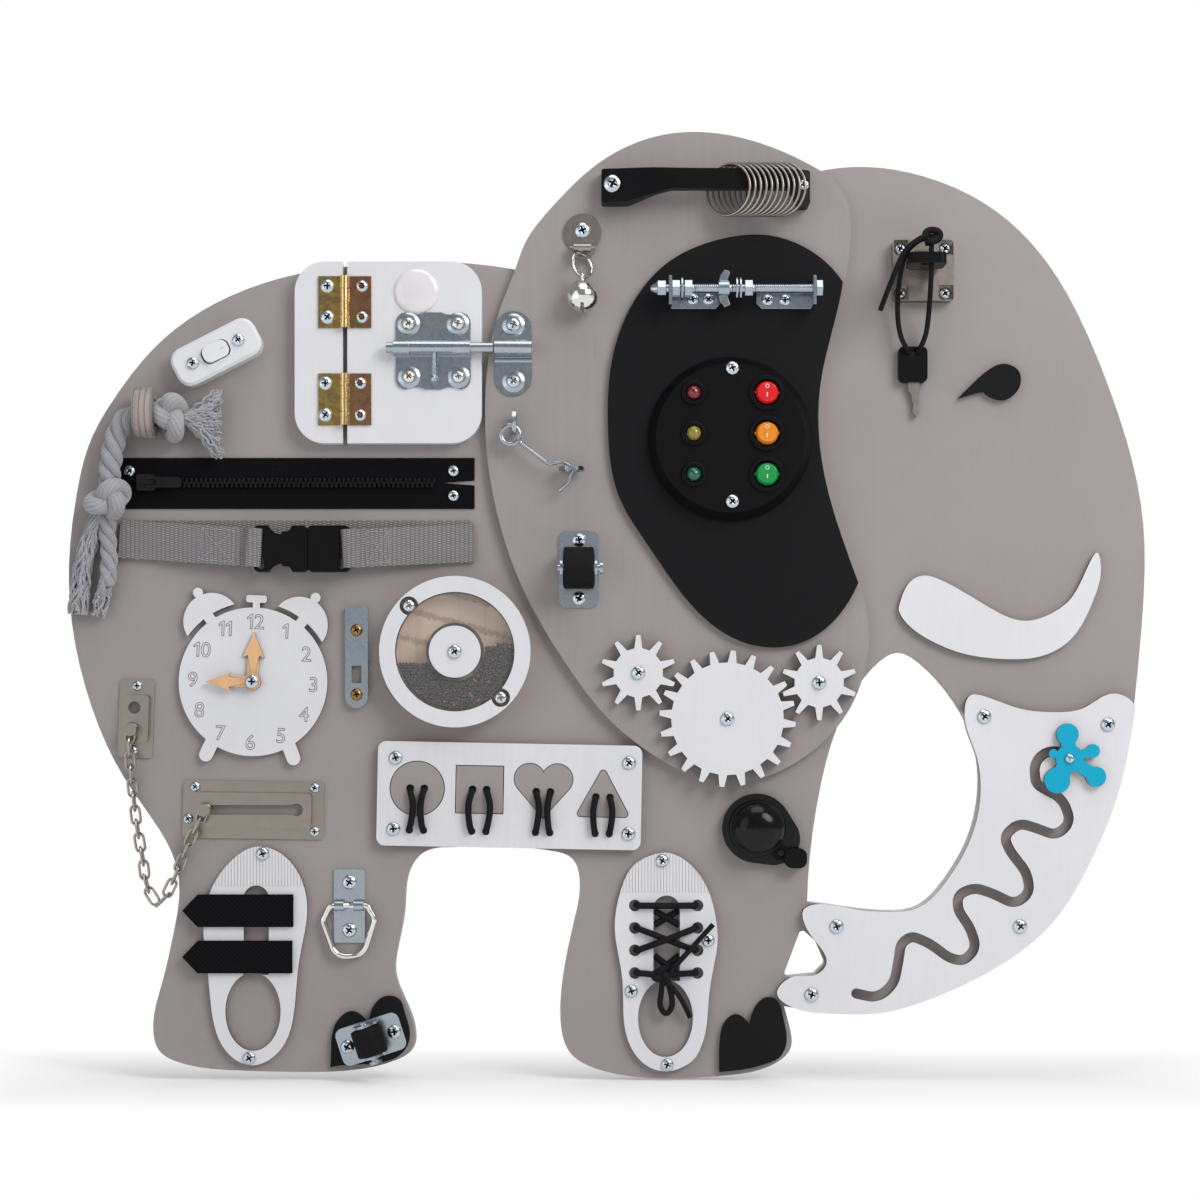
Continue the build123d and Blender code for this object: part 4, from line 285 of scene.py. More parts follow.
def add_tube(bm, line, radius, sides=10, caps=True):
    """A round tube along a line with a UV map: metres along it, and turns round it."""
    layer = bm.loops.layers.uv.verify()
    rings = []
    distances = [0.0]
    for start, end in zip(line, line[1:]):
        distances.append(distances[-1] + (end - start).length * MM)
    for index, (point, normal, side) in enumerate(frames_along(line)):
        size = radius(index / (len(line) - 1)) if callable(radius) else radius
        rings.append([bm.verts.new(spot) for spot in circle(point, size, sides, normal, side)])
    for index, (here, there) in enumerate(zip(rings, rings[1:])):
        for step, face in enumerate(quads(bm, here, there)):
            turns = (step / sides, (step + 1) / sides)
            spots = ((distances[index], turns[0]), (distances[index], turns[1]),
                     (distances[index + 1], turns[1]), (distances[index + 1], turns[0]))
            for loop, spot in zip(face.loops, spots):
                loop[layer].uv = spot
    if caps:
        bm.faces.new(rings[0][::-1])
        bm.faces.new(rings[-1])


def close_rings(bm, rings):
    """The faces of a tube that ends where it starts."""
    for here, there in zip(rings, rings[1:] + rings[:1]):
        quads(bm, here, there)


def add_ring(bm, line, radius, sides=10):
    """A closed ring of round wire."""
    count = len(line)
    middle = sum(line, Vector()) / count
    rings = []
    for index, point in enumerate(line):
        tangent = (line[(index + 1) % count] - line[index - 1]).normalized()
        outward = (point - middle).normalized()
        outward = (outward - tangent * outward.dot(tangent)).normalized()
        rings.append([bm.verts.new(spot) for spot in circle(point, radius, sides, outward, tangent.cross(outward))])
    close_rings(bm, rings)


def free_cord(line):
    """Turns a cord's line into metres and measures it from its first point; nothing keeps the result."""
    path = [tuple(BENCH @ point) for point in line]
    length = sum(math.dist(start, end) for start, end in zip(path, path[1:]))
    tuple(path[0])


def lay_cord(name, points, radius, stands_for=()):
    """A round black cord along the smooth line of its route's points."""
    line = even_line(nurbs_line(points, 12), 0.8 * radius)
    bm = bmesh.new()
    add_tube(bm, line, radius, 12)
    piece = settle(name, bm, "cord", "board", stands_for, 80)
    free_cord(line)


def add_lathe(bm, profile, centre, sides=32):
    """A turned form: profile holds (radius, height) pairs from the bottom up, and may end in a point."""
    centre = Vector(centre)
    first = OUT.orthogonal().normalized()
    second = OUT.cross(first)
    rings = []
    for radius, height in profile:
        middle = centre + OUT * height
        rings.append([bm.verts.new(spot) for spot in circle(middle, radius, sides, first, second)]
                     if radius else [bm.verts.new(middle)])
    for here, there in zip(rings, rings[1:]):
        if len(there) > 1:
            quads(bm, here, there)
        else:
            for k in range(sides):
                bm.faces.new((here[k], here[(k + 1) % sides], there[0]))
    bm.faces.new(rings[0][::-1])
    if len(rings[-1]) > 1:
        bm.faces.new(rings[-1])


def add_block(bm, x, y, z):
    """A box between two values on each axis."""
    corners = [bm.verts.new((a, b, c)) for a in x for b in y for c in z]
    for order in ((0, 1, 3, 2), (4, 6, 7, 5), (0, 4, 5, 1), (2, 3, 7, 6), (0, 2, 6, 4), (1, 5, 7, 3)):
        bm.faces.new([corners[k] for k in order])


# ---------------------------------------------------------------- shader helpers
# a wave texture of scale 1 has a band in each 0.314 of its coordinates
WAVE_SCALE = 0.314


class Finish:
    """Builds one procedural material round a Principled shader."""

    def __init__(self, name, colour, roughness=0.5, **sockets):
        self.material = bpy.data.materials.new(name)
        self.material.use_nodes = True
        self.tree = self.material.node_tree
        self.shader = self.tree.nodes["Principled BSDF"]
        self.shader.inputs["Base Color"].default_value = colour
        self.shader.inputs["Roughness"].default_value = roughness
        for socket, value in sockets.items():
            self.shader.inputs[socket.replace("_", " ")].default_value = value

    def add(self, kind, inputs=None, **settings):
        node = self.tree.nodes.new(kind)
        for name, value in settings.items():
            setattr(node, name, value)
        for name, value in (inputs or {}).items():
            self.feed(node.inputs[name], value)
        return node

    def feed(self, socket, value):
        if isinstance(value, bpy.types.NodeSocket):
            self.tree.links.new(value, socket)
        else:
            socket.default_value = value

    def spot(self, kind):
        """Where a point of the surface lies: kind is Object or UV."""
        return self.add("ShaderNodeTexCoord").outputs[kind]

    def split(self, vector):
        """The parts of a vector by axis."""
        return self.add("ShaderNodeSeparateXYZ", {"Vector": vector}).outputs

    def place(self, scale=(1, 1, 1), turn=(0, 0, 0)):
        """The object's own coordinates, scaled and turned."""
        mapping = self.add("ShaderNodeMapping", {"Vector": self.spot("Object"), "Scale": scale,
                                                 "Rotation": [math.radians(a) for a in turn]})
        return mapping.outputs["Vector"]

    def noise(self, scale, detail=2.0, roughness=0.5, distortion=0.0, vector=None):
        node = self.add("ShaderNodeTexNoise", {"Scale": scale, "Detail": detail, "Roughness": roughness,
                                               "Distortion": distortion, "Vector": vector or self.place()})
        return node.outputs["Fac"]

    def wave(self, pitch, distortion, vector, detail, detail_scale):
        """Sine bands across X, a pitch in millimetres apart."""
        node = self.add("ShaderNodeTexWave", {"Scale": WAVE_SCALE / (pitch * MM) / 2, "Distortion": distortion,
                                              "Detail": detail, "Detail Scale": detail_scale, "Vector": vector})
        return node.outputs["Fac"]

    def ramp(self, value, *stops):
        node = self.add("ShaderNodeValToRGB", {"Fac": value})
        ramp = node.color_ramp
        for index, (at, colour) in enumerate(stops):
            element = ramp.elements[index] if index < 2 else ramp.elements.new(at)
            element.position = at
            element.color = colour if hasattr(colour, "__len__") else (colour, colour, colour, 1)
        return node.outputs["Color"]

    def mix(self, factor, first, second, blend="MIX"):
        node = self.add("ShaderNodeMix", data_type="RGBA", blend_type=blend)
        self.feed(node.inputs["Factor"], factor)
        self.feed(node.inputs["A"], first)
        self.feed(node.inputs["B"], second)
        return node.outputs["Result"]

    def math(self, operation, first, second=0.0):
        node = self.add("ShaderNodeMath", operation=operation)
        self.feed(node.inputs[0], first)
        self.feed(node.inputs[1], second)
        return node.outputs["Value"]

    def colour(self, value):
        self.feed(self.shader.inputs["Base Color"], value)
        return self

    def rough(self, value, low, high):
        """Roughness that follows a value between low and high."""
        node = self.add("ShaderNodeMapRange", {"Value": value, "To Min": low, "To Max": high})
        self.feed(self.shader.inputs["Roughness"], node.outputs["Result"])
        return self

    def bump(self, height, distance, strength=1.0):
        """Relief of the given depth in metres."""
        node = self.add("ShaderNodeBump", {"Height": height, "Distance": distance, "Strength": strength})
        if self.shader.inputs["Normal"].is_linked:
            self.feed(node.inputs["Normal"], self.shader.inputs["Normal"].links[0].from_socket)
        self.feed(self.shader.inputs["Normal"], node.outputs["Normal"])
        return self


def shade(colour, factor):
    """A colour made lighter or darker."""
    return tuple(min(1.0, channel * factor) for channel in colour[:3]) + (1.0,)


# ---------------------------------------------------------------- finishes
def painted_board(name, colour, grain=0.0, grain_turn=0.0, roughness=0.5, shine=0.3):
    """Matt paint on plywood: roller texture, a little mottling and, where grain is set, the wood's pores."""
    finish = Finish(name, colour, roughness, Specular_IOR_Level=shine)
    mottle = finish.ramp(finish.noise(9, 3, 0.6), (0.3, 0.0), (0.7, 1.0))
    tone = finish.mix(mottle, shade(colour, 0.965), shade(colour, 1.03))
    height = finish.noise(900, 3, 0.6)
    if grain:
        along = finish.place((1.0, 1.0, 0.045), (0, grain_turn, 0))
        fibres = finish.ramp(finish.noise(260, 4, 0.65, vector=along), (0.35, 0.0), (0.65, 1.0))
        pits = finish.ramp(finish.noise(620, 2, 0.5, vector=along), (0.66, 0.0), (0.74, 1.0))
        tone = finish.mix(finish.math("MULTIPLY", fibres, 0.35 * grain), tone, shade(colour, 0.88))
        tone = finish.mix(finish.math("MULTIPLY", pits, 0.18 * grain), tone, shade(colour, 0.55))
        height = finish.math("ADD", finish.math("MULTIPLY", height, 0.5), fibres)
        finish.bump(finish.math("SUBTRACT", 1.0, pits), 0.00008, 0.4 * grain)
    finish.colour(tone)
    finish.rough(finish.noise(60, 2), roughness - 0.06, roughness + 0.08)
    finish.bump(height, 0.00006, 0.5)
    return finish.material


def bare_wood(name, light, dark, turn=(0, 0, 0), scale=60.0, stretch=0.08, layers=0.0):
    """Clear-varnished birch with fine figure along one direction, or cut across its layers."""
    finish = Finish(name, light, 0.42, Specular_IOR_Level=0.3)
    vector = finish.place((1.0, 1.0, stretch), turn)
    figure = finish.noise(scale, 4, 0.6, 0.6, vector)
    pores = finish.noise(scale * 9, 2, 0.5, 0.0, vector)
    tone = finish.ramp(figure, (0.3, dark), (0.5, light), (0.72, shade(light, 1.08)))
    tone = finish.mix(finish.ramp(pores, (0.62, 0.0), (0.8, 0.45)), tone, shade(dark, 0.8))
    if layers:
        plies = finish.wave(layers, 1.2, finish.place(turn=turn), 2.0, 30.0)
        lines = finish.ramp(plies, (0.0, 1.0), (0.22, 0.0))
        tone = finish.mix(finish.math("MULTIPLY", lines, 0.7), tone, shade(dark, 0.55))
        finish.bump(finish.math("SUBTRACT", 1.0, lines), 0.00025, 0.7)
    finish.colour(tone)
    finish.bump(pores, 0.00005, 0.4)
    return finish.material


def bright_metal(name, colour, roughness, smear=0.1, stain=None):
    """Plated steel: tight speckle, faint handling marks and, on chromate, drifting tints."""
    finish = Finish(name, colour, roughness, Metallic=1.0)
    cloud = finish.noise(70, 4, 0.6)
    tone = finish.ramp(cloud, (0.25, shade(colour, 1 - smear)), (0.75, shade(colour, 1 + smear)))
    if stain:
        drift = finish.noise(55, 2, 0.5, 1.5)
        tone = finish.ramp(drift, *stain)
    finish.colour(tone)
    finish.rough(finish.noise(300, 3, 0.7), max(0.05, roughness - 0.08), roughness + 0.12)
    finish.bump(finish.noise(1400, 2, 0.5), 0.00001, 0.25)
    return finish.material


def moulded(name, colour, roughness=0.35, texture=0.3, **sockets):
    """Moulded plastic with a fine spark texture."""
    finish = Finish(name, colour, roughness, **sockets)
    finish.rough(finish.noise(120, 3), roughness - 0.05, roughness + 0.08)
    finish.colour(finish.mix(finish.noise(25, 2), shade(colour, 0.94), shade(colour, 1.05)))
    finish.bump(finish.noise(2600, 2, 0.6), 0.00002, texture)
    return finish.material


def woven(name, warp, weft, pitch, depth):
    """Black cloth in twill: pitch is from thread to thread in millimetres."""
    finish = Finish(name, warp, 0.75, Specular_IOR_Level=0.08)
    weave = finish.wave(pitch, 0.5, finish.place(turn=(0, 45, 0)), 1.0, 2.0)
    fuzz = finish.noise(2200, 3, 0.7)
    # the weave's hollows go darker: partly the darker weft, partly painted shade
    tone = finish.mix(finish.ramp(weave, (0.05, 0.0), (0.6, 1.0)), shade(weft, 0.55), warp)
    finish.colour(finish.mix(finish.math("MULTIPLY", fuzz, 0.5), tone, weft))
    finish.bump(finish.math("ADD", weave, finish.math("MULTIPLY", fuzz, 0.3)), depth, 0.8)
    return finish.material


def webbing_cloth(name, lit, gap, column, row):
    """Flat webbing: short floats in columns, each column half a row off its neighbour; the floats are lit, with painted
    shade between them.
    """
    finish = Finish(name, lit, 0.6, Specular_IOR_Level=0.25)
    place = finish.split(finish.place())
    along = finish.math("DIVIDE", place["X"], column * MM)
    shift = finish.math("MULTIPLY", finish.math("FLOOR", along), 0.5)
    across = finish.math("ADD", finish.math("DIVIDE", place["Z"], row * MM), shift)
    swell = [finish.math("SINE", finish.math("MULTIPLY", finish.math("FRACT", value), math.pi))
             for value in (along, across)]
    height = finish.math("MULTIPLY", finish.math("POWER", swell[0], 0.45), swell[1])
    fuzz = finish.noise(2600, 2, 0.7, vector=finish.place((0.25, 1, 1)))
    # the raised floats take the lit colour and the low gaps between them a darker one: painted shade
    tone = finish.mix(finish.ramp(height, (0.25, 0.0), (0.75, 1.0)), gap, lit)
    finish.colour(finish.mix(finish.math("MULTIPLY", fuzz, 0.35), tone, shade(gap, 0.9)))
    finish.bump(finish.math("ADD", height, finish.math("MULTIPLY", fuzz, 0.2)), 0.0005, 0.9)
    return finish.material


def twisted_yarn(name, light, dark, plies=5.0, lay=260.0, depth=0.0006):
    """Fibres that wind round a strand; the UV map runs along it in metres and round it in turns."""
    finish = Finish(name, light, 0.85, Sheen_Weight=0.4, Sheen_Roughness=0.6, Specular_IOR_Level=0.2)
    along_round = finish.split(finish.spot("UV"))
    wound = finish.math("ADD", finish.math("MULTIPLY", along_round["X"], lay),
                        finish.math("MULTIPLY", along_round["Y"], plies))
    ridge = finish.math("SINE", finish.math("MULTIPLY", wound, 2 * math.pi))
    ridge = finish.math("MULTIPLY_ADD", ridge, 0.5)
    stretched = finish.add("ShaderNodeCombineXYZ", {
        "X": finish.math("MULTIPLY", along_round["X"], 60.0), "Y": finish.math("MULTIPLY", wound, 3.0)})
    fibre = finish.noise(5.0, 5, 0.8, 0.5, stretched.outputs["Vector"])
    tone = finish.ramp(fibre, (0.32, dark), (0.5, light), (0.7, shade(light, 1.25)))
    # the grooves between the wound ridges are darkened: painted shade
    finish.colour(finish.mix(finish.ramp(ridge, (0.0, 0.3), (0.4, 0.0)), tone, shade(dark, 0.7)))
    finish.bump(finish.math("ADD", ridge, fibre), depth, 0.7)
    return finish.material


def braided(name, colour, picks=900.0, bands=8.0, depth=0.0002):
    """A braided cord: two sets of strands that cross; the UV map is as on a strand."""
    finish = Finish(name, colour, 0.65, Specular_IOR_Level=0.15)
    along_round = finish.split(finish.spot("UV"))
    along = finish.math("MULTIPLY", along_round["X"], picks)
    around = finish.math("MULTIPLY", along_round["Y"], bands)
    ridges = []
    for sign in (1.0, -1.0):
        wound = finish.math("ADD", along, finish.math("MULTIPLY", around, sign))
        ridges.append(finish.math("ABSOLUTE", finish.math("SINE", finish.math("MULTIPLY", wound, math.pi))))
    braid = finish.math("MAXIMUM", ridges[0], ridges[1])
    # painted shade in the hollows between the strands and a painted highlight on their crowns
    finish.colour(finish.mix(finish.ramp(braid, (0.4, 0.0), (0.95, 1.0)), shade(colour, 0.35), shade(colour, 1.5)))
    finish.bump(braid, depth, 0.8)
    return finish.material


def clear_plastic(name, colour, roughness=0.08):
    """A thin clear sheet: what is behind it shows, and it mirrors the lights."""
    finish = Finish(name, colour, roughness, Alpha=0.05, Specular_IOR_Level=0.8)
    finish.bump(finish.noise(30, 2), 0.00003, 0.15)
    return finish.material


def lens(name, colour, roughness=0.12, depth=0.5):
    """A tinted, coated lens with a fine speckle from a darker to a lighter tint; depth sets the darker one."""
    finish = Finish(name, colour, roughness, Coat_Weight=0.6, Coat_Roughness=0.05, Subsurface_Weight=0.15,
                    Subsurface_Scale=0.003)
    ribs = finish.noise(900, 1)
    finish.colour(finish.mix(ribs, shade(colour, depth), shade(colour, 1.25)))
    finish.bump(ribs, 0.00003, 0.3)
    return finish.material


TOE_RIB_PITCH = 2.04


def ribbed_toe(name, colour, level):
    """White paint with upright engraved lines above a level of the board."""
    finish = Finish(name, colour, 0.42, Specular_IOR_Level=0.35)
    place = finish.split(finish.place())
    ribs = finish.math("SINE", finish.math("MULTIPLY", place["X"], 2 * math.pi / (TOE_RIB_PITCH * MM)))
    line = finish.ramp(ribs, (0.86, 0.0), (0.97, 1.0))
    line = finish.math("MULTIPLY", line, finish.math("GREATER_THAN", place["Z"], level))
    roller = finish.noise(900, 3, 0.6)
    finish.colour(finish.mix(finish.math("MULTIPLY", line, 0.75), colour, srgb(128, 100, 92)))
    finish.bump(finish.math("SUBTRACT", finish.math("MULTIPLY", roller, 0.1), line), 0.0004, 0.8)
    return finish.material


FINISHES = {}


def make_finishes(look):
    """Mixes every finish of the board, each under its plain name."""
    taupe, white, black, blue, yarn, webbing = (
        (*colour, 1.0) for colour in (look.board_colour, look.panel_colour, look.lining_colour, look.spinner_colour,
                                      look.yarn_colour, look.webbing_colour))
    FINISHES.update({
        "taupe": painted_board("taupe_paint", taupe, 0.2, 0, 0.5),
        "taupe_grained": painted_board("taupe_paint_grained", taupe, 0.9, 52, 0.5),
        "white": painted_board("white_paint", white, 0.3, 0, 0.42),
        "white_tray": painted_board("white_paint_across", white, 0.9, 90, 0.42),
        "black": painted_board("black_paint", black, 0.3, 10, 0.5, 0.1),
        "blue": painted_board("blue_paint", blue, 0.0, 0, 0.4),
        "hand_wood": bare_wood("birch_hand", srgb(230, 185, 140), srgb(205, 150, 105), (0, 20, 0), 45),
        "wheel_wood": bare_wood("birch_wheel", srgb(206, 184, 166), srgb(186, 160, 140), (0, 75, 0), 40, layers=9.0),
        "loop_wood": bare_wood("limed_ply", srgb(168, 158, 151), srgb(140, 130, 124), (0, 0, 0), 160, 0.03, 1.9),
        "zinc": bright_metal("bright_zinc", srgb(172, 182, 190), 0.26, 0.04),
        "chromate": bright_metal("yellow_chromate", srgb(200, 176, 100), 0.26, 0.1, (
            (0.3, srgb(166, 146, 80)), (0.45, srgb(196, 174, 98)), (0.56, srgb(176, 140, 100)),
            (0.7, srgb(168, 168, 96)))),
        # a brighter copy of the hinges' chromate for their round barrels: painted highlight
        "chromate_highlit": bright_metal("chromate_painted_highlight", srgb(236, 212, 130), 0.18, 0.1, (
            (0.35, srgb(238, 214, 120)), (0.55, srgb(240, 196, 150)), (0.7, srgb(226, 220, 140)))),
        # a lighter copy of the plates' zinc for the screw heads: painted highlight
        "screw_zinc_highlit": bright_metal("screw_zinc_highlit", srgb(198, 208, 216), 0.2, 0.05),
        "nickel": bright_metal("warm_nickel", srgb(166, 158, 150), 0.3, 0.05),
        "chrome": bright_metal("polished_nickel", srgb(226, 224, 220), 0.1, 0.04),
        # a dark metal for the screws' cross recesses: painted shade, as the recess is plated like the head
        "recess_painted_shade": bright_metal("recess_painted_shade", srgb(52, 58, 66), 0.4, 0.1),
        "brass": bright_metal("brass", srgb(150, 122, 76), 0.3, 0.1),
        "gloss_black": moulded("gloss_black_plastic", srgb(13, 13, 15), 0.16, 0.05, Specular_IOR_Level=0.25),
        "satin_black": moulded("satin_black_plastic", srgb(14, 14, 16), 0.36, 0.3, Specular_IOR_Level=0.12),
        "rubber": moulded("black_rubber", srgb(18, 18, 20), 0.6, 0.6, Specular_IOR_Level=0.15),
        "white_plastic": moulded("white_plastic", srgb(232, 234, 236), 0.22, 0.1, Subsurface_Weight=0.08,
                                 Subsurface_Scale=0.002),
        "badge": moulded("domed_resin", srgb(236, 230, 234), 0.08, 0.02, Coat_Weight=0.8),
        "window": clear_plastic("clear_window", (1, 1, 1, 1)),
        "zip_cloth": woven("zip_cloth", srgb(16, 16, 20), srgb(10, 10, 13), 0.9, depth=0.0002),
        "zip_plastic": moulded("zip_plastic", srgb(11, 11, 13), 0.3, 0.1, Specular_IOR_Level=0.3),
        # the webbing's gaps get half its colour: painted shade
        "webbing": webbing_cloth("grey_webbing", webbing, shade(webbing, 0.5), 2.9, 1.5),
        "strap_cloth": woven("strap_cloth", srgb(20, 20, 23), srgb(12, 12, 14), 1.1, depth=0.0003),
        "thread": moulded("stitch_thread", srgb(178, 176, 178), 0.7, 0.4),
        "yarn": twisted_yarn("cotton_yarn", yarn, shade(yarn, 0.42), 11.0, 330.0, 0.00035),
        "fibre": twisted_yarn("loose_fibre", yarn, shade(yarn, 0.55), 2.0, 500.0, 0.0002),
        "cord": braided("black_cord", srgb(20, 20, 23)),
        "seed": moulded("dark_seed", srgb(52, 42, 42), 0.45, 0.2),
        "seed_red": moulded("red_seed", srgb(150, 74, 50), 0.45, 0.2),
        "lamp_red": lens("red_lens_dark", srgb(120, 16, 28)),
        "lamp_amber": lens("amber_lens_dark", srgb(150, 138, 36)),
        "lamp_green": lens("green_lens_dark", srgb(14, 100, 74)),
        "rocker_red": lens("red_rocker", srgb(222, 30, 36), 0.14, 0.8),
        "rocker_amber": lens("amber_rocker", srgb(240, 140, 32), 0.14, 0.8),
        "rocker_green": lens("green_rocker", srgb(24, 150, 76), 0.14, 0.8),
        "mark": moulded("white_mark", srgb(235, 235, 235), 0.5, 0.1),
        "burnt_edge": bare_wood("browned_edge", srgb(104, 82, 70), srgb(70, 52, 44), (0, 0, 0), 160, 0.03),
        "taupe_edge": painted_board("taupe_edge", shade(taupe, 0.9), 0.4, 0, 0.5),
        "dark_edge": bare_wood("dark_cut_edge", srgb(84, 66, 56), srgb(56, 42, 36), (0, 0, 0), 160, 0.03),
        "chromate_red": bright_metal("red_chromate", srgb(176, 130, 98), 0.26, 0.1, (
            (0.3, srgb(150, 106, 84)), (0.5, srgb(176, 130, 100)), (0.7, srgb(150, 132, 84)))),
        "rear_toe": ribbed_toe("rear_toe", white, -0.1826),
        "front_toe": ribbed_toe("front_toe", white, -0.1868),
        "burnt_line": moulded("engraved_line", srgb(112, 92, 86), 0.9, 0.1),
        "cut_mark": moulded("pressed_mark", srgb(196, 198, 202), 0.4, 0.1),
    })


# ---------------------------------------------------------------- settings that a user would change
class BoardLook(bpy.types.PropertyGroup):
    """Colours of the board's paints and cloths."""
    board_colour: bpy.props.FloatVectorProperty(
        name="Board", description="Paint of the board and the ear", subtype="COLOR", size=3, min=0, max=1,
        default=srgb(158, 151, 149)[:3])
    panel_colour: bpy.props.FloatVectorProperty(
        name="Panels", description="Paint of the light panels", subtype="COLOR", size=3, min=0, max=1,
        default=srgb(226, 226, 230)[:3])
    lining_colour: bpy.props.FloatVectorProperty(
        name="Lining", description="Paint of the ear lining, eye and toenails", subtype="COLOR", size=3, min=0,
        max=1, default=srgb(24, 24, 26)[:3])
    spinner_colour: bpy.props.FloatVectorProperty(
        name="Maze runner", description="Paint of the runner in the trunk's slot", subtype="COLOR", size=3, min=0,
        max=1, default=srgb(0, 168, 204)[:3])
    yarn_colour: bpy.props.FloatVectorProperty(
        name="Tail yarn", description="Cotton of the tail", subtype="COLOR", size=3, min=0, max=1,
        default=srgb(172, 172, 176)[:3])
    webbing_colour: bpy.props.FloatVectorProperty(
        name="Webbing", description="Webbing of the buckled strap", subtype="COLOR", size=3, min=0, max=1,
        default=srgb(160, 156, 158)[:3])


class BoardSizes(bpy.types.PropertyGroup):
    """Sizes of the details that repeat."""
    seed_size: bpy.props.FloatProperty(
        name="Seed", description="Diameter of a seed in the wheel, in millimetres", default=2.1, min=1.0, max=4.0)
    stitch_length: bpy.props.FloatProperty(
        name="Stitch", description="Length of a stitch, in millimetres", default=2.2, min=0.5, max=6.0)
    strand_turns: bpy.props.FloatProperty(
        name="Rope turns", description="Turns of the tail's strands in 100 millimetres", default=3.1, min=0.5, max=8)


# ---------------------------------------------------------------- repeated things
def scatter_tree(shape, material, recess=None):
    """Puts the shape on every point, turned and sized by the points' own attributes; recess, a dark finish for marked
    faces, is painted shade.
    """
    tree = bpy.data.node_groups.new("Set on points", "GeometryNodeTree")
    face = tree.interface
    face.new_socket("Geometry", in_out="INPUT", socket_type="NodeSocketGeometry")
    size = face.new_socket("Size", in_out="INPUT", socket_type="NodeSocketFloat")
    size.default_value = 1.0
    face.new_socket("Geometry", in_out="OUTPUT", socket_type="NodeSocketGeometry")
    add = tree.nodes.new
    entry, leave = add("NodeGroupInput"), add("NodeGroupOutput")
    source = add("GeometryNodeObjectInfo")
    source.inputs["Object"].default_value = shape
    points = add("GeometryNodeMeshToPoints")
    turn, scale = add("GeometryNodeInputNamedAttribute"), add("GeometryNodeInputNamedAttribute")
    for reader, name in ((turn, "turn"), (scale, "scale")):
        reader.data_type = "FLOAT_VECTOR"
        reader.inputs["Name"].default_value = name
    to_turn = add("FunctionNodeEulerToRotation")
    sized = add("ShaderNodeVectorMath")
    sized.operation = "SCALE"
    place, real = add("GeometryNodeInstanceOnPoints"), add("GeometryNodeRealizeInstances")
    paint = add("GeometryNodeSetMaterial")
    paint.inputs["Material"].default_value = material
    join = tree.links.new
    join(entry.outputs["Geometry"], points.inputs["Mesh"])
    join(points.outputs["Points"], place.inputs["Points"])
    join(source.outputs["Geometry"], place.inputs["Instance"])
    join(turn.outputs["Attribute"], to_turn.inputs["Euler"])
    join(to_turn.outputs["Rotation"], place.inputs["Rotation"])
    join(scale.outputs["Attribute"], sized.inputs[0])
    join(entry.outputs["Size"], sized.inputs["Scale"])
    join(sized.outputs["Vector"], place.inputs["Scale"])
    join(place.outputs["Instances"], real.inputs["Geometry"])
    join(real.outputs["Geometry"], paint.inputs["Geometry"])
    # marked faces get the recess finish: painted shade in a screw's cross recess
    if recess:
        marked, inner = add("GeometryNodeInputNamedAttribute"), add("GeometryNodeSetMaterial")
        marked.data_type = "INT"
        marked.inputs["Name"].default_value = "recess"
        inner.inputs["Material"].default_value = recess
        join(marked.outputs["Attribute"], inner.inputs["Selection"])
        join(paint.outputs["Geometry"], inner.inputs["Geometry"])
        paint = inner
    join(paint.outputs["Geometry"], leave.inputs["Geometry"])
    return tree, size.identifier


def scatter(name, shape_bm, places, finish, body, stands_for=(), size=1.0, recess=None):
    """Copies of a shape: places holds (position, (turn), (scale)) in bench terms."""
    smooth(shape_bm, 40)
    shape_mesh = bpy.data.meshes.new(f"{name}_shape")
    shape_bm.to_mesh(shape_mesh)
    shape_bm.free()
    shape = add_object(f"{name}_shape", shape_mesh)
    points = bpy.data.meshes.new(name)
    points.from_pydata([tuple(place[0]) for place in places], [], [])
    for attribute, column in (("turn", 1), ("scale", 2)):
        layer = points.attributes.new(attribute, "FLOAT_VECTOR", "POINT")
        layer.data.foreach_set("vector", [value for place in places for value in place[column]])
    holder = add_object(f"{name}_points", points)
    tree, size_socket = scatter_tree(shape, FINISHES[finish], FINISHES.get(recess))
    modifier = holder.modifiers.new("Set", "NODES")
    modifier.node_group = tree
    modifier[size_socket] = size
    mesh = evaluated_mesh(holder)
    for used in (holder, shape):
        bpy.data.objects.remove(used)
    bpy.data.node_groups.remove(tree)
    mesh.name = name
    mesh.transform(BENCH)
    mount(name, mesh, body, stands_for)


UNIT = (1.0, 1.0, 1.0)
# the height of a screw's head in millimetres, and of its shape while its radius is 1
HEAD_H = 2.2
HEAD_SHAPE_H = 0.55


def screw_head_shape():
    """A pan head of radius 1 with a cross recess, sitting on z = 0."""
    bm = bmesh.new()
    sides = 32
    profile = ((1.0, 0.0), (1.0, 0.1), (0.96, 0.22), (0.87, 0.34), (0.74, 0.44), (0.6, 0.51), (0.5, HEAD_SHAPE_H))
    arm, half = 0.52, 0.13
    angles = [2 * math.pi * k / sides for k in range(sides)]
    cross = [max(min(arm, half / max(min(abs(math.cos(angle)), abs(math.sin(angle))), 1e-6)), half * 1.05)
             for angle in angles]
    levels = [([radius] * sides, height) for radius, height in profile]
    levels += [([reach * scale for reach in cross], height) for height, scale in ((HEAD_SHAPE_H, 1.0), (0.12, 0.7))]
    rings = [[bm.verts.new((reach * math.cos(angle), reach * math.sin(angle), height))
              for reach, angle in zip(reaches, angles)] for reaches, height in levels]
    # the faces of the cross recess are marked for a dark finish: painted shade in the recess
    marked = bm.faces.layers.int.new("recess")
    for here, there in zip(rings, rings[1:]):
        for face in quads(bm, here, there):
            face[marked] = int(there is rings[-1])
    bm.faces.new(rings[-1])[marked] = 1
    bm.faces.new(rings[0][::-1])
    return bm


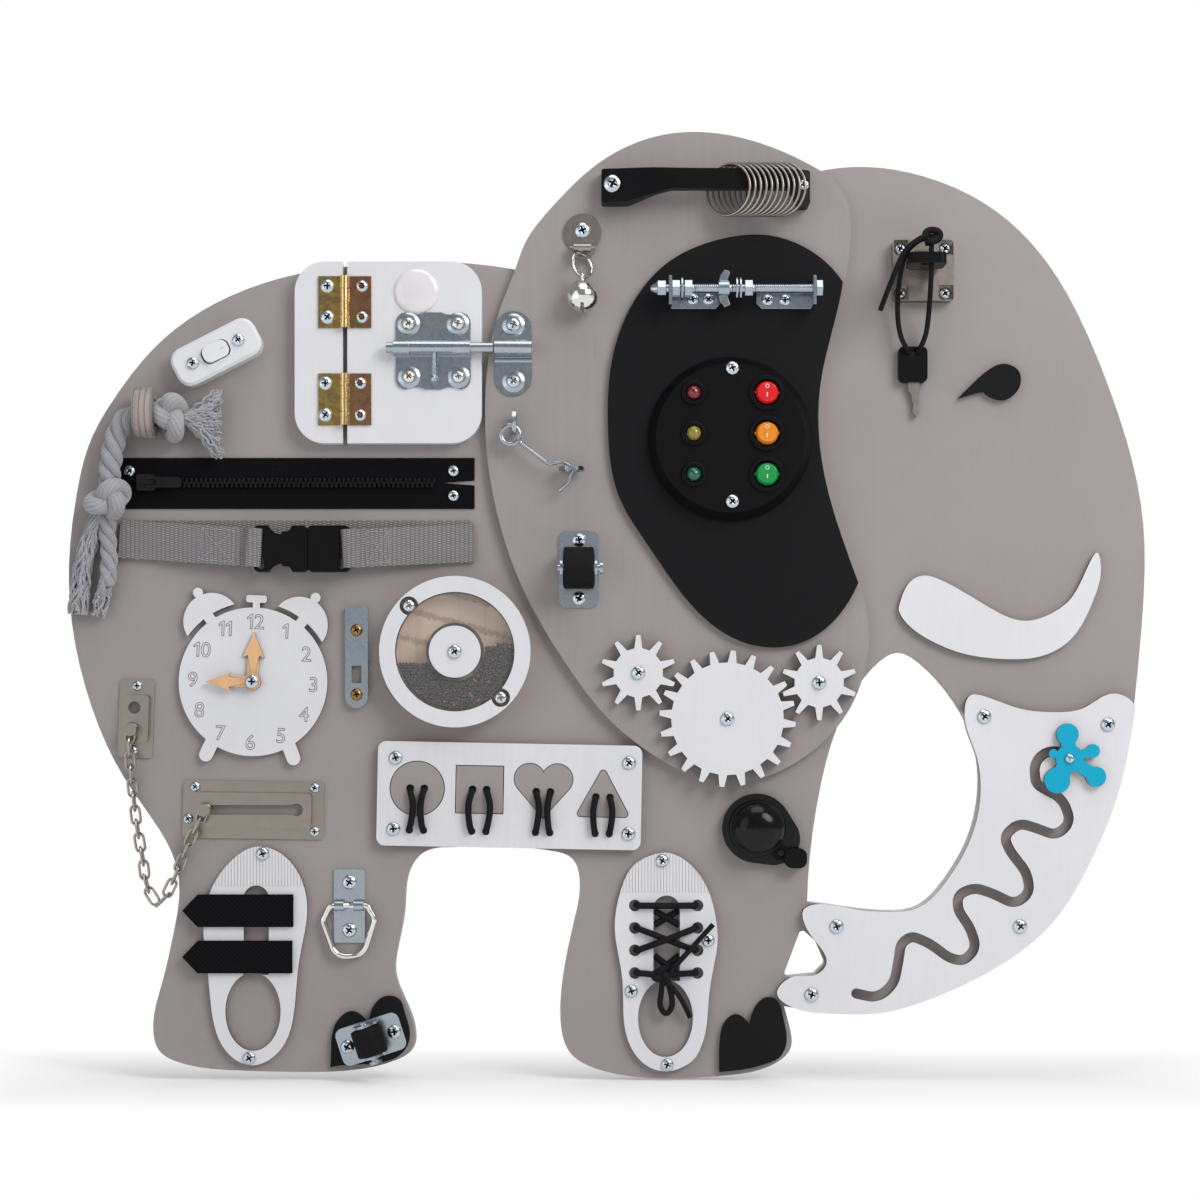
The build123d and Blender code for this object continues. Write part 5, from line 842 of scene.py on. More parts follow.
def screws_in(node, choose=None):
    """Centre, seat and head radius of each screw among a node's solids."""
    bm, groups = islands(node)
    found = []
    for group in groups:
        low, high = face_box(group)
        if choose and not choose(low, high):
            continue
        found.append(((low.x + high.x) / 2, (low.y + high.y) / 2, high.z - HEAD_H, (high.x - low.x) / 2))
    bm.free()
    return found


def heads(name, spots, finish, body, stands_for=(), rise=0.0, swell=1.0):
    """Phillips pan heads at the given spots, each turned by its own chance."""
    chance = random.Random(len(spots) + 5)
    places = []
    for x, y, seat, radius in spots:
        turn = (0, 0, chance.uniform(0, math.pi / 2))
        places.append(((x, y, seat + rise), turn, (radius * swell, radius * swell, HEAD_H / HEAD_SHAPE_H)))
    # the cross recess gets the dark finish: painted shade
    scatter(name, screw_head_shape(), places, finish, body, stands_for, recess="recess_painted_shade")


def sides(face, level=0.5):
    """True for a face that looks along the board and not out of it."""
    return abs(face.normal.z) < level


def lacquered(node, top, edge="burnt_edge", edge_width=0.3):
    """A laser-cut panel: its finish on the faces and a browned edge all round."""
    dress(node, lambda low, high, face: edge if sides(face) else top, edge_width)


# ---------------------------------------------------------------- gadgets
def finish_board():
    finish_node("base_panel", "taupe", 0.6)
    lacquered("ear_panel", "taupe_grained", "taupe_edge", 0.5)
    lacquered("black_panels", "black", "black", 0.4)
    lacquered("trunk_panel", "white")


TRUNK_SCREWS = ((245.8, -71.9), (326.2, -77.0), (269.1, -208.3), (149.7, -208.4), (133.4, -252.8))


MAZE_X, MAZE_Y, MAZE_SLOT_R, MAZE_START = 291.0, -107.0, 12.5, math.radians(40)
TRUNK_TOP = 18.0


def finish_maze():
    """The turquoise runner and the screws that hold the trunk's panel."""
    lacquered("maze_slider", "blue", "burnt_edge", 0.3)
    runner = (MAZE_X + MAZE_SLOT_R * math.cos(MAZE_START), MAZE_Y + MAZE_SLOT_R * math.sin(MAZE_START),
              bench_box("maze_slider")[1].z - HEAD_H, 3.3)
    heads("maze_screw", [runner], "screw_zinc_highlit", BODY_OF["maze_slider"], rise=0.15)
    heads("trunk_screws", [(x, y, TRUNK_TOP, 4.7) for x, y in TRUNK_SCREWS], "screw_zinc_highlit", "board")


# the box round the latch's screws: its sides along X, then along Y
LATCH = (-172.0, -154.0, -68.0, 2.0)


def finish_screws():
    spots = screws_in("screws")
    latch = [spot for spot in spots if LATCH[0] < spot[0] < LATCH[1] and LATCH[2] < spot[1] < LATCH[3]]
    heads("board_screws", [spot for spot in spots if spot not in latch], "screw_zinc_highlit", "board", ("screws",),
          swell=1.14)
    heads("latch_screws", latch, "brass", "board")


HINGE_X, BARREL_R = -169.8, 3.05
BOLT_SIDE_X = -100
BADGE = (-123.4, 204.2)
BADGE_R = 14.5
BADGE_DOME = ((BADGE_R, 0.0), (BADGE_R, 0.5), (BADGE_R - 0.6, 1.2), (BADGE_R - 2.4, 1.9), (BADGE_R - 6, 2.5),
              (5, 2.8), (0, 2.9))
SHEET_T = 1.2
# the pressed cone that a screw of the bolt sits on
DIMPLE = ((7.4, -0.6), (7.4, 0.0), (6.9, 0.35), (4.9, 1.05), (4.4, 1.1))
KEEPER_SCREWS = ((-60.4, 182.7), (-60.4, 146.2))


def finish_door():
    lacquered("door_panel", "white", "white", 1.0)

    def hinge(face, leaf):
        """A hinge's barrel gets a brighter copy of its leaf's chromate, a painted highlight."""
        centre = face.calc_center_median()
        barrel = abs(centre.x - HINGE_X) < BARREL_R and centre.z > DOOR_TOP + SHEET_T
        return "chromate_highlit" if barrel else leaf

    def fixed(low, high, face):
        return "zinc" if low.x > BOLT_SIDE_X and low.z < 25 else hinge(face, "chromate")

    def moving(low, high, face):
        return "zinc" if high.x > BOLT_SIDE_X else hinge(face, "chromate_red")

    dress("fixed_door_hardware", fixed)
    screws = screws_in("door_hardware", lambda low, high: high.x - low.x < 8.5 and high.y - low.y < 8.5)
    bolt_screws = [spot for spot in screws if spot[0] > -140]
    dress("door_hardware", moving)
    heads("hinge_screws", [spot for spot in screws if spot not in bolt_screws], "screw_zinc_highlit", "door")
    heads("bolt_screws", bolt_screws, "chrome", "door", rise=DIMPLE[-1][1])
    for name, spots, top, body in (("bolt_dimples", [spot[:2] for spot in bolt_screws], DOOR_TOP, "door"),
                                   ("keeper_dimples", KEEPER_SCREWS, EAR_TOP, "board")):
        bm = bmesh.new()
        for spot in spots:
            add_lathe(bm, DIMPLE, (*spot, top + SHEET_T))
        settle(name, bm, "zinc", body)
    finish_node("slide_bolt", "zinc", 0.3)
    bm = bmesh.new()
    add_lathe(bm, BADGE_DOME, (*BADGE, DOOR_TOP), sides=64)
    settle("door_badge", bm, "badge", "door", smooth_below=60)


CLOCK = (-230.2, -49.2)
CLOCK_TILT = math.radians(-2.5)
DIGIT_RING_R = 39.3
DIGIT_H = 9.5
DIGIT_GAP = 1.0
CUT_LINE_R = 0.2
# the heights of the font's digits and of the plain 1, whose corners follow, for a size of 1
FONT_CAP, ONE_CAP = 0.7, 0.72
ONE = ((0.26, 0), (0.36, 0), (0.36, 0.72), (0.30, 0.72), (0.10, 0.56), (0.10, 0.46), (0.26, 0.56))


def digit_outline(mark):
    """The outline of a digit in a thin round line, standing on Y = 0 and starting at X = 0."""
    if mark == "1":
        data = bpy.data.curves.new("digit", "CURVE")
        spline = data.splines.new("POLY")
        spline.points.add(len(ONE) - 1)
        for spot, (x, y) in zip(spline.points, ONE):
            spot.co = (x * DIGIT_H / ONE_CAP, y * DIGIT_H / ONE_CAP, 0, 1)
        spline.use_cyclic_u = True
    else:
        data = bpy.data.curves.new("digit", "FONT")
        data.body = mark
        data.size = DIGIT_H / FONT_CAP
    data.dimensions = "2D"
    data.fill_mode = "NONE"
    data.bevel_depth = CUT_LINE_R
    data.bevel_resolution = 1
    holder = add_object("digit", data)
    mesh = evaluated_mesh(holder)
    bpy.data.objects.remove(holder)
    bpy.data.curves.remove(data)
    left = min(vert.co.x for vert in mesh.vertices)
    mesh.transform(Matrix.Translation((-left, 0, 0)))
    return mesh


def finish_clock():
    lacquered("clock_face", "white")
    for hand in ("minute_hand", "hour_hand"):
        dress(hand, lambda low, high, face: "burnt_edge" if sides(face) else "hand_wood", 0.2)
    digits = bmesh.new()
    for number in range(1, 13):
        angle = math.radians(90 - 30 * number) + CLOCK_TILT
        outlines = [digit_outline(mark) for mark in str(number)]
        widths = [max(vert.co.x for vert in mesh.vertices) for mesh in outlines]
        start = -(sum(widths) + DIGIT_GAP * (len(widths) - 1)) / 2
        middle = Vector((CLOCK[0] + DIGIT_RING_R * math.cos(angle), CLOCK[1] + DIGIT_RING_R * math.sin(angle),
                         PLATE_TOP + 0.02))
        place = Matrix.Translation(middle) @ Matrix.Rotation(CLOCK_TILT, 4, "Z")
        for mesh, width in zip(outlines, widths):
            mesh.transform(place @ Matrix.Translation((start, -DIGIT_H / 2, 0)))
            digits.from_mesh(mesh)
            bpy.data.meshes.remove(mesh)
            start += width + DIGIT_GAP
    settle("clock_digits", digits, "burnt_line", "board", smooth_below=80)


WHEEL = (-98.1, -29.9)
WHEEL_WALL_TOP = 24.8
WHEEL_WINDOW_TOP = 26.8
WHEEL_CAP_R = 16.8
WHEEL_EARS = ((-29.7, 29.7), (29.7, -29.7))
SEED_INNER_R, SEED_OUTER_R = 18.9, 38.0
SEED_LEVELS = (-36.4, -24.7)
# in shares of the seeds' pitch: from row to row, from layer to layer, and how far a seed strays
SEED_ROW, SEED_LAYER, SEED_STRAY = 0.87, 0.8, 0.28
RED_SHARE = 0.05


def finish_seed_wheel(sizes):
    def wheel(low, high, face):
        centre = face.calc_center_median()
        away = math.hypot(centre.x - WHEEL[0], centre.y - WHEEL[1])
        panel = "burnt_edge" if sides(face) else "white"
        if low.z > WHEEL_WALL_TOP - 0.5:
            return panel
        if centre.z > WHEEL_WINDOW_TOP + 0.04:
            return "chromate_red" if away > WHEEL_CAP_R + 2 else panel
        return "window" if centre.z > WHEEL_WALL_TOP - 0.04 else "wheel_wood"

    dress("seed_wheel", wheel, 0.25)
    ears = [(WHEEL[0] + x, WHEEL[1] + y, WHEEL_WALL_TOP + 2.0, 4.1) for x, y in WHEEL_EARS]
    heads("wheel_screws", ears, "screw_zinc_highlit", BODY_OF["seed_wheel"], rise=0.15)
    chance = random.Random(7)
    pitch = sizes.seed_size * 1.02
    spots = []
    layer = WHEEL_WALL_TOP - sizes.seed_size * 0.62
    while layer > WHEEL_WALL_TOP - 4 * pitch:
        for row in range(int(2 * SEED_OUTER_R / (pitch * SEED_ROW))):
            y = WHEEL[1] - SEED_OUTER_R + row * pitch * SEED_ROW
            for column in range(int(2 * SEED_OUTER_R / pitch)):
                x = WHEEL[0] - SEED_OUTER_R + (column + 0.5 * (row % 2)) * pitch
                x += chance.uniform(-SEED_STRAY, SEED_STRAY) * pitch
                spot_y = y + chance.uniform(-SEED_STRAY, SEED_STRAY) * pitch
                away = math.hypot(x - WHEEL[0], spot_y - WHEEL[1])
                level = SEED_LEVELS[0] if x < WHEEL[0] else SEED_LEVELS[1]
                level += 2.0 * noise.noise((x * 0.12, layer, 3.0))
                inside = SEED_INNER_R + pitch * 0.55 < away < SEED_OUTER_R - pitch * 0.55
                if inside and spot_y < level - pitch / 2:
                    spots.append((x, spot_y, layer + chance.uniform(-0.2, 0.1) * pitch))
        layer -= pitch * SEED_LAYER
    red = [spot for spot in spots if chance.random() < RED_SHARE]
    dark = [spot for spot in spots if spot not in red]
    for name, chosen, finish, stands_for in (("seeds_dark", dark, "seed", ("seeds",)),
                                             ("seeds_red", red, "seed_red", ())):
        shape = bmesh.new()
        bmesh.ops.create_uvsphere(shape, u_segments=7, v_segments=5, radius=0.5)
        places = [(spot, (chance.uniform(0, 6), chance.uniform(0, 6), 0), (1.0, chance.uniform(0.86, 1), 1.0))
                  for spot in chosen]
        scatter(name, shape, places, finish, "board", stands_for, sizes.seed_size)


LINK_LENGTH, LINK_WIDTH, LINK_WIRE = 14.2, 7.6, 1.8


def link_shape():
    """A chain link of round wire, lying along X."""
    bm = bmesh.new()
    half_w = (LINK_WIDTH - LINK_WIRE) / 2
    straight = (LINK_LENGTH - LINK_WIRE) / 2 - half_w
    line = []
    for side in (1, -1):
        for step in range(7):
            angle = math.radians(-90 + 30 * step) + (0 if side == 1 else math.pi)
            line.append(Vector((side * straight + half_w * math.cos(angle), half_w * math.sin(angle), 0)))
    line.append(line[0].copy())
    rings = []
    count = len(line) - 1
    for index in range(count):
        across = OUT.cross((line[(index + 1) % count] - line[index - 1]).normalized())
        rings.append([bm.verts.new(spot) for spot in circle(line[index], LINK_WIRE / 2, 8, across, OUT)])
    close_rings(bm, rings)
    bmesh.ops.recalc_face_normals(bm, faces=bm.faces)
    return bm


def main_axes(group):
    """The middle of a solid's corners and the directions in which they reach furthest and least."""
    points = [vert.co for vert in {vert for face in group for vert in face.verts}]
    middle = sum(points, Vector()) / len(points)
    spread = Matrix(((0, 0, 0),) * 3)
    for point in points:
        offset = point - middle
        for a in range(3):
            for b in range(3):
                spread[a][b] += offset[a] * offset[b]
    long = Vector((0.7, 0.6, 0.4))
    for _ in range(60):
        long = (spread @ long).normalized()
    inverse = (spread + Matrix.Identity(3) * 1e-6).inverted()
    thin = Vector((0.3, -0.5, 0.8))
    for _ in range(60):
        thin = (inverse @ thin).normalized()
    thin = (thin - long * thin.dot(long)).normalized()
    return middle, long, thin


def finish_chain():
    bm, groups = islands("chain_links")
    places = []
    for group in groups:
        middle, long, thin = main_axes(group)
        turn = Matrix((long, thin.cross(long), thin)).transposed().to_euler()
        places.append((middle, tuple(turn), UNIT))
    bm.free()
    scatter("chain", link_shape(), places, "nickel", "board", ("chain_links",))

    def plates(low, high, face):
        return "zinc" if low.x > LATCH[0] else "nickel"

    dress("chain_and_latch_plates", plates, 0.3)
    finish_node("chain_slider", "nickel", 0.3)


# the two crossings of the shoe's lace that its holes show, as ends (X, Y)
LACE_BEHIND = (((31.2, -198.4), (47.2, -207.8)), ((31.2, -207.8), (47.2, -198.4)),
               ((31.2, -227.6), (47.2, -240.6)), ((31.2, -240.6), (47.2, -227.6)))
LACE_R = 2.1
SHOE_TOP_Y = -150


def finish_plates():
    """The tusk, the door's fixed strip and the two shoes with their ribbed toes."""
    def panel(low, high, face):
        if sides(face):
            return "white" if low.y > 90 else "burnt_edge"
        if high.y < SHOE_TOP_Y:
            return "rear_toe" if low.x < -150 else "front_toe"
        return "white"

    dress("white_plates", panel, 0.3)
    bm = bmesh.new()
    for start, end in LACE_BEHIND:
        height = BOARD_TOP + 2.15 + 0.5 * (start[1] > end[1])
        add_tube(bm, [Vector((*start, height)).lerp(Vector((*end, height)), k / 8) for k in range(9)], LACE_R)
    settle("lace_behind", bm, "cord", "board", smooth_below=80)


CORD_R = 2.1
CORD_BOWS = (2.6, -3.0, 2.2, -2.0)


def finish_shapes():
    lacquered("shape_tray", "white_tray")
    for shape in ("circle", "square", "heart", "triangle"):
        lacquered(f"shape_{shape}", "taupe", "dark_edge", 0.25)
    bm, groups = islands("shape_cords")
    ends = sorted((*strand_ends(group, face_box(group)), *face_box(group)) for group in groups)
    bm.free()
    for index, (top_x, low_x, low, high) in enumerate(ends):
        bow = (1 - 2 * (index % 2)) * CORD_BOWS[index // 2]
        lay_cord(f"shape_cord_{index + 1}", [
            (top_x, high.y - CORD_R, TRAY_TOP - 3), (top_x, high.y - CORD_R, TRAY_TOP + 3.4),
            (top_x + bow, (high.y + low.y) / 2 + 3, TRAY_TOP + 3.3), (low_x + bow * 0.4, low.y + 5, TRAY_TOP + 3.4),
            (low_x, low.y + CORD_R, TRAY_TOP + 3.2), (low_x, low.y + CORD_R, TRAY_TOP - 3)],
            CORD_R, ("shape_cords",) if index == 0 else ())


def strand_ends(group, box):
    """Where a strand's upper and lower end lie along X."""
    low, high = box
    upper = [vert.co.x for face in group for vert in face.verts if vert.co.y > high.y - 2 * CORD_R]
    lower = [vert.co.x for face in group for vert in face.verts if vert.co.y < low.y + 2 * CORD_R]
    return sum(upper) / len(upper), sum(lower) / len(lower)


LACE_EYES_X = (18.5, 59.3)
LACE_ROWS = (-194.9, -209.5, -224.1, -238.9)


def finish_lace():
    """The lace of the front shoe: its bars and cross, and a knot with a loop and two loose ends."""
    low, high = PLATE_TOP - 2.5, PLATE_TOP + 2.3
    left, right = LACE_EYES_X
    bm = bmesh.new()

    def strand(points):
        add_tube(bm, even_line(nurbs_line(points), 1.3), LACE_R, 12)

    for start_row, end_row, lift in ((0, 0, 0.0), (1, 2, 0.0), (2, 1, 3.4)):
        a, b = LACE_ROWS[start_row], LACE_ROWS[end_row]
        middle = ((left + right) / 2, (a + b) / 2, high + lift)
        strand([(left + 1, a, low), (left + 1.2, a, high - 0.3), (left + 6, a + (b - a) * 0.12, high), middle,
                (right - 6, b - (b - a) * 0.12, high), (right - 1.2, b, high - 0.3), (right - 1, b, low)])
    last = LACE_ROWS[3]
    strand([(left + 1, last, low), (left + 1.2, last, high - 0.3), (25, last, high), (33, last - 1, high + 1.5)])
    strand([(right - 1, last, low), (right - 1.2, last, high - 0.3), (51, last, high), (41, last - 1, high + 1.5)])
    settle("shoe_lace_bars", bm, "cord", "board", ("shoe_lace",), 80)
    knot_z = high + 3.4
    bm = bmesh.new()
    lobes = knot_lobes((35.6, -239.6, knot_z - 0.6), (4.6, 4.0, 1.9), 0.6)
    add_tube(bm, lobes[:-1] + [lobes[0]], 2.5, 14, caps=False)
    knot = settle("lace_knot", bm, "cord", "board", smooth_below=80)
    lay_cord("lace_end_up", [(38, -246, knot_z - 1.4), (41, -238, knot_z + 1), (47, -231, high + 5),
                             (58, -219, high + 4.6), (69.2, -206.8, high + 3.6)], 1.7, ())
    lay_cord("lace_end_down", [(34.5, -239.5, knot_z - 0.6), (38.5, -242.5, knot_z), (42, -247, knot_z),
                               (47.5, -253.5, high + 1.6), (52, -262, high), (54.4, -267.6, high - 0.8)],
             1.7)
    lay_cord("lace_loop", [(36.5, -242, knot_z), (35.6, -252, high + 1.8), (34.2, -260, high + 0.4),
                           (38.8, -266.6, high), (43.4, -260, high + 0.4), (41.6, -250, high + 1.6),
                           (39.8, -243.4, knot_z - 0.2)], 1.9)


def finish_fittings():
    """The tie-down, rollers, screw eyes, hook and hanger."""
    def fitting(low, high, face):
        return "nickel" if high.y > 215 else "zinc"

    dress("fixed_fittings", fitting, 0.3)
    finish_node("tie_down_ring", "chrome", 0.0)
    finish_node("latch_hook", "zinc", 0.0)
    for roller in ("ear_roller", "foot_roller"):
        finish_node(roller, "rubber", 1.2)


def finish_jingle_bell():
    finish_node("jingle_bell", "chrome", 0.0)


HANDLE_RING_R, HANDLE_WIRE_R = 16.5, 0.85


def finish_handle():
    finish_node("ring_handle", "satin_black", 0.8)
    bm, groups = islands("handle_rings")
    rings = bmesh.new()
    for group in groups:
        middle, _, thin = main_axes(group)
        first = thin.orthogonal().normalized()
        add_ring(rings, circle(middle, HANDLE_RING_R, 48, first, thin.cross(first)), HANDLE_WIRE_R)
    bm.free()
    settle("rings_finished", rings, "nickel", BODY_OF["handle_rings"], ("handle_rings",), 80)


BOLT_Y, BOLT_Z, BOLT_R = 203.6, 35.0, 3.0
THREAD_PITCH, THREAD_R, THREAD_STEPS = 1.25, 0.3, 16
THREAD_RUNS = ((55.4, 71.6), (79.4, 83.0), (94.2, 134.6))


def finish_bolt():
    finish_node("bolt_and_brackets", "zinc", 0.25)
    finish_node("wing_nut", "zinc", 0.6)
    bm = bmesh.new()
    for start, end in THREAD_RUNS:
        turns = (end - start) / THREAD_PITCH
        steps = int(turns * THREAD_STEPS)
        line = []
        for step in range(steps + 1):
            angle = 2 * math.pi * turns * step / steps
            line.append(Vector((start + (end - start) * step / steps, BOLT_Y + BOLT_R * math.cos(angle),
                                BOLT_Z + BOLT_R * math.sin(angle))))
        add_tube(bm, line, THREAD_R, 4)
    settle("bolt_thread", bm, "zinc", "board", smooth_below=50)


# where the keys' plastic grips start: out of the lock, and up the board on the hanging key
GRIP_Z, GRIP_Y = 34.9, 145.6
KEY_CORD_R = 1.65
KEY_CORD_TOP = 52.8
KEY_CORD_LOW = 15.05


def finish_lock():
    finish_node("lock_case", "nickel", 0.5)

    def key(low, high, face):
        return "satin_black" if face.calc_center_median().z > GRIP_Z else "nickel"

    def hanging(low, high, face):
        return "satin_black" if face.calc_center_median().y > GRIP_Y else "nickel"

    dress("lock_key", key, 1.0)
    dress("hanging_key", hanging, 0.6)
    top, low = KEY_CORD_TOP, KEY_CORD_LOW
    knot = [(203, 230, top - 2), (212, 230.5, top), (212, 237, top + 2), (204, 238, top),
            (201.5, 232, top + 2.5), (207, 229, top + 4), (211.5, 234, top), (203, 233, top - 2)]
    bm = bmesh.new()
    add_tube(bm, even_line(nurbs_line(knot), 1.0), 2.2, 12)
    knot = settle("key_knot", bm, "cord", "board", smooth_below=80)
    lay_cord("key_cord_long", [
        (203, 232.8, top + 1), (192, 228.5, top - 2), (188.6, 214, top - 14), (188.4, 199, 26),
        (189, 185, low + 6), (191.2, 173.5, low + 6.6), (195.6, 165.8, low + 6.5), (196.8, 164.4, low + 1)],
        KEY_CORD_R, stands_for=("key_cord",))
    lay_cord("key_cord_short", [
        (206.6, 229, top + 1), (206.8, 215, top), (207.4, 203, top - 8), (208.6, 190, low + 12),
        (207.5, 176, low + 8), (203.2, 166, low + 6.6), (202.2, 164.4, low + 1)], KEY_CORD_R)
    lay_cord("key_cord_tail", [(204, 234, top + 4.5), (191, 228.5, top + 4), (183.5, 211, top - 4),
                               (176, 189.4, top - 16)], KEY_CORD_R)


LIGHT_TOP = 32.0
LAMP_X, ROCKER_X = 56.3, 103.5
ROWS_Y = (137.0, 110.8, 84.4)
LAMP_R = 4.9
LAMP_DOME_H = 4.6
ROCKER_TILT = math.radians(-6)
# a rocker's mark: its ring's place up the rocker, radius and line, and the middle of its bevelled face
MARK_Y, MARK_R, MARK_LINE_R = 3.7, 1.15, 0.22
ROCKER_FACE = (0, 0, 3.42)


def finish_light_box():
    finish_node("light_box", "satin_black", 0.4)

    def lamp(low, high, face):
        if high.x - low.x > 2 * LAMP_R + 1:
            return "satin_black"
        return "lamp_red" if low.y > 125 else "lamp_amber" if low.y > 98 else "lamp_green"

    dress("lamps_and_bezels", lamp, 0.7)
    dome = [((LAMP_R - 0.12) * math.cos(rise), LAMP_DOME_H * math.sin(rise))
            for rise in (math.radians(15 * step) for step in range(6))]
    for colour, y in zip(("red", "amber", "green"), ROWS_Y):
        finish_node(f"rocker_{colour}", f"rocker_{colour}", 0.5)
        marks = bmesh.new()
        add_ring(marks, circle(Vector((0, MARK_Y, 0)), MARK_R, 24, RIGHT, UP), MARK_LINE_R, 6)
        add_block(marks, (-0.3, 0.3), (-3.2, -0.6), (-0.15, 0.12))
        marks.transform(Matrix.Translation((ROCKER_X, y, LIGHT_TOP)) @ Matrix.Rotation(ROCKER_TILT, 4, "X")
                        @ Matrix.Translation(ROCKER_FACE))
        settle(f"marks_{colour}", marks, "mark", BODY_OF[f"rocker_{colour}"])
        lamp_bm = bmesh.new()
        add_lathe(lamp_bm, [*dome, (0, LAMP_DOME_H)], (LAMP_X, y, LIGHT_TOP + 0.15))
        settle(f"lamp_{colour}", lamp_bm, f"lamp_{colour}", "board", smooth_below=70)


def finish_gears():
    for gear in ("gear_left", "gear_large", "gear_right"):
        lacquered(gear, "white")


def finish_bike_bell():
    finish_node("bike_bell", "gloss_black", 0.6)
    finish_node("bell_lever", "satin_black", 1.2)


SWITCH_TURN = math.radians(27)


def finish_switch():
    finish_node("switch_housing", "white_plastic", 1.2)
    finish_node("switch_rocker", "white_plastic", 0.9)
    low, high = bench_box("switch_rocker")
    marks = bmesh.new()
    add_ring(marks, circle(Vector((-5.2, 0, 0)), 1.7, 24, RIGHT, UP), 0.2, 6)
    add_tube(marks, [Vector((x, 0, 0)) for x in (3.6, 5.0, 6.4)], 0.22, 6)
    place = Matrix.Translation(((low.x + high.x) / 2, (low.y + high.y) / 2, high.z - 1.0))
    marks.transform(place @ Matrix.Rotation(SWITCH_TURN, 4, "Z"))
    settle("switch_marks", marks, "cut_mark", BODY_OF["switch_rocker"], smooth_below=80)


TAIL_ROUTE = [(-289, 124.8, 25), (-309, 124.8, 25), (-317, 113, 24), (-321, 98, 23), (-323, 78, 22),
              (-322, 66, 20.5), (-325, 50, 20), (-322.5, 32, 19.4), (-324.5, 14, 19.2)]
RIGHT_END = [(-322.5, 32, 19.4), (-324.5, 14, 19.2), (-331, -8, 19)]
LEFT_LEG = [(-326, 66, 20), (-333, 52, 19), (-338.5, 34, 18.6), (-342, 14, 18.6), (-343.5, -6, 18.6)]
ROPE_R, ROPE_END_R, LEG_R = 7.4, 5.8, 5.8
# the rope thins behind its knot, this far along it
ROPE_THINS = 0.45
STRAND_SHARE = 0.49
TASSEL = [(-273.5, 121.6, 25), (-264, 120, 23.5), (-256, 118, 21.6), (-249.4, 116.6, 20.6)]
TASSEL_YARNS = 34
# the tail's two knots: centre, size and turn
TAIL_KNOTS = (((-282.0, 122.8, 25), (6.6, 12.2, 7.6), 0.2), ((-322.5, 68.4, 24.4), (11.4, 8.0, 6.6), 0.5))


def add_rope(bm, line, radius, turns_per_mm, strands=3):
    """Strands laid round each other along a line."""
    frames = frames_along(line)
    for strand in range(strands):
        travelled = 0.0
        path = []
        for index, (point, normal, side) in enumerate(frames):
            if index:
                travelled += (point - frames[index - 1][0]).length
            angle = 2 * math.pi * (strand / strands - travelled * turns_per_mm)
            offset = radius(index / (len(frames) - 1)) * (1 - STRAND_SHARE)
            path.append(point + offset * (math.cos(angle) * normal + math.sin(angle) * side))
        add_tube(bm, path, lambda part: radius(part) * STRAND_SHARE, 14)


def add_frayed(bm, line, count, radius, spread, seed, wave, thickness, shrink):
    """Loose yarns that follow a line and wander as they go."""
    chance = random.Random(seed)
    frames = frames_along(line)
    for _ in range(count):
        angle = chance.uniform(0, 2 * math.pi)
        away = math.sqrt(chance.random())
        phase = chance.uniform(0, 20)
        cut = int(len(frames) * (1 - shrink * chance.random()))
        path = []
        for step, (point, normal, side) in enumerate(frames[:max(cut, 4)]):
            part = step / (len(frames) - 1)
            reach = (radius + (spread - radius) * part) * away
            sway = wave * min(1.0, 3 * part)
            a = angle + 0.5 * math.sin(part * 9 + phase)
            offset = normal * (reach * math.cos(a) + sway * math.sin(part * 31 + phase))
            offset += side * (reach * math.sin(a) + sway * math.cos(part * 27 + phase * 1.7))
            path.append(point + offset)
        add_tube(bm, path, thickness * chance.uniform(0.75, 1.15), 6)


def knot_lobes(centre, size, turn):
    """The route of an overhand knot's fat turns inside a box of the given size."""
    line = []
    for step in range(73):
        t = 2 * math.pi * step / 72
        x = (math.sin(t) + 2 * math.sin(2 * t)) / 3
        y = (math.cos(t) - 2 * math.cos(2 * t)) / 3
        z = -math.sin(3 * t)
        spot = Vector((x * size[0], y * size[1], z * size[2]))
        spot.rotate(Matrix.Rotation(turn, 3, "Z"))
        line.append(Vector(centre) + spot)
    return line


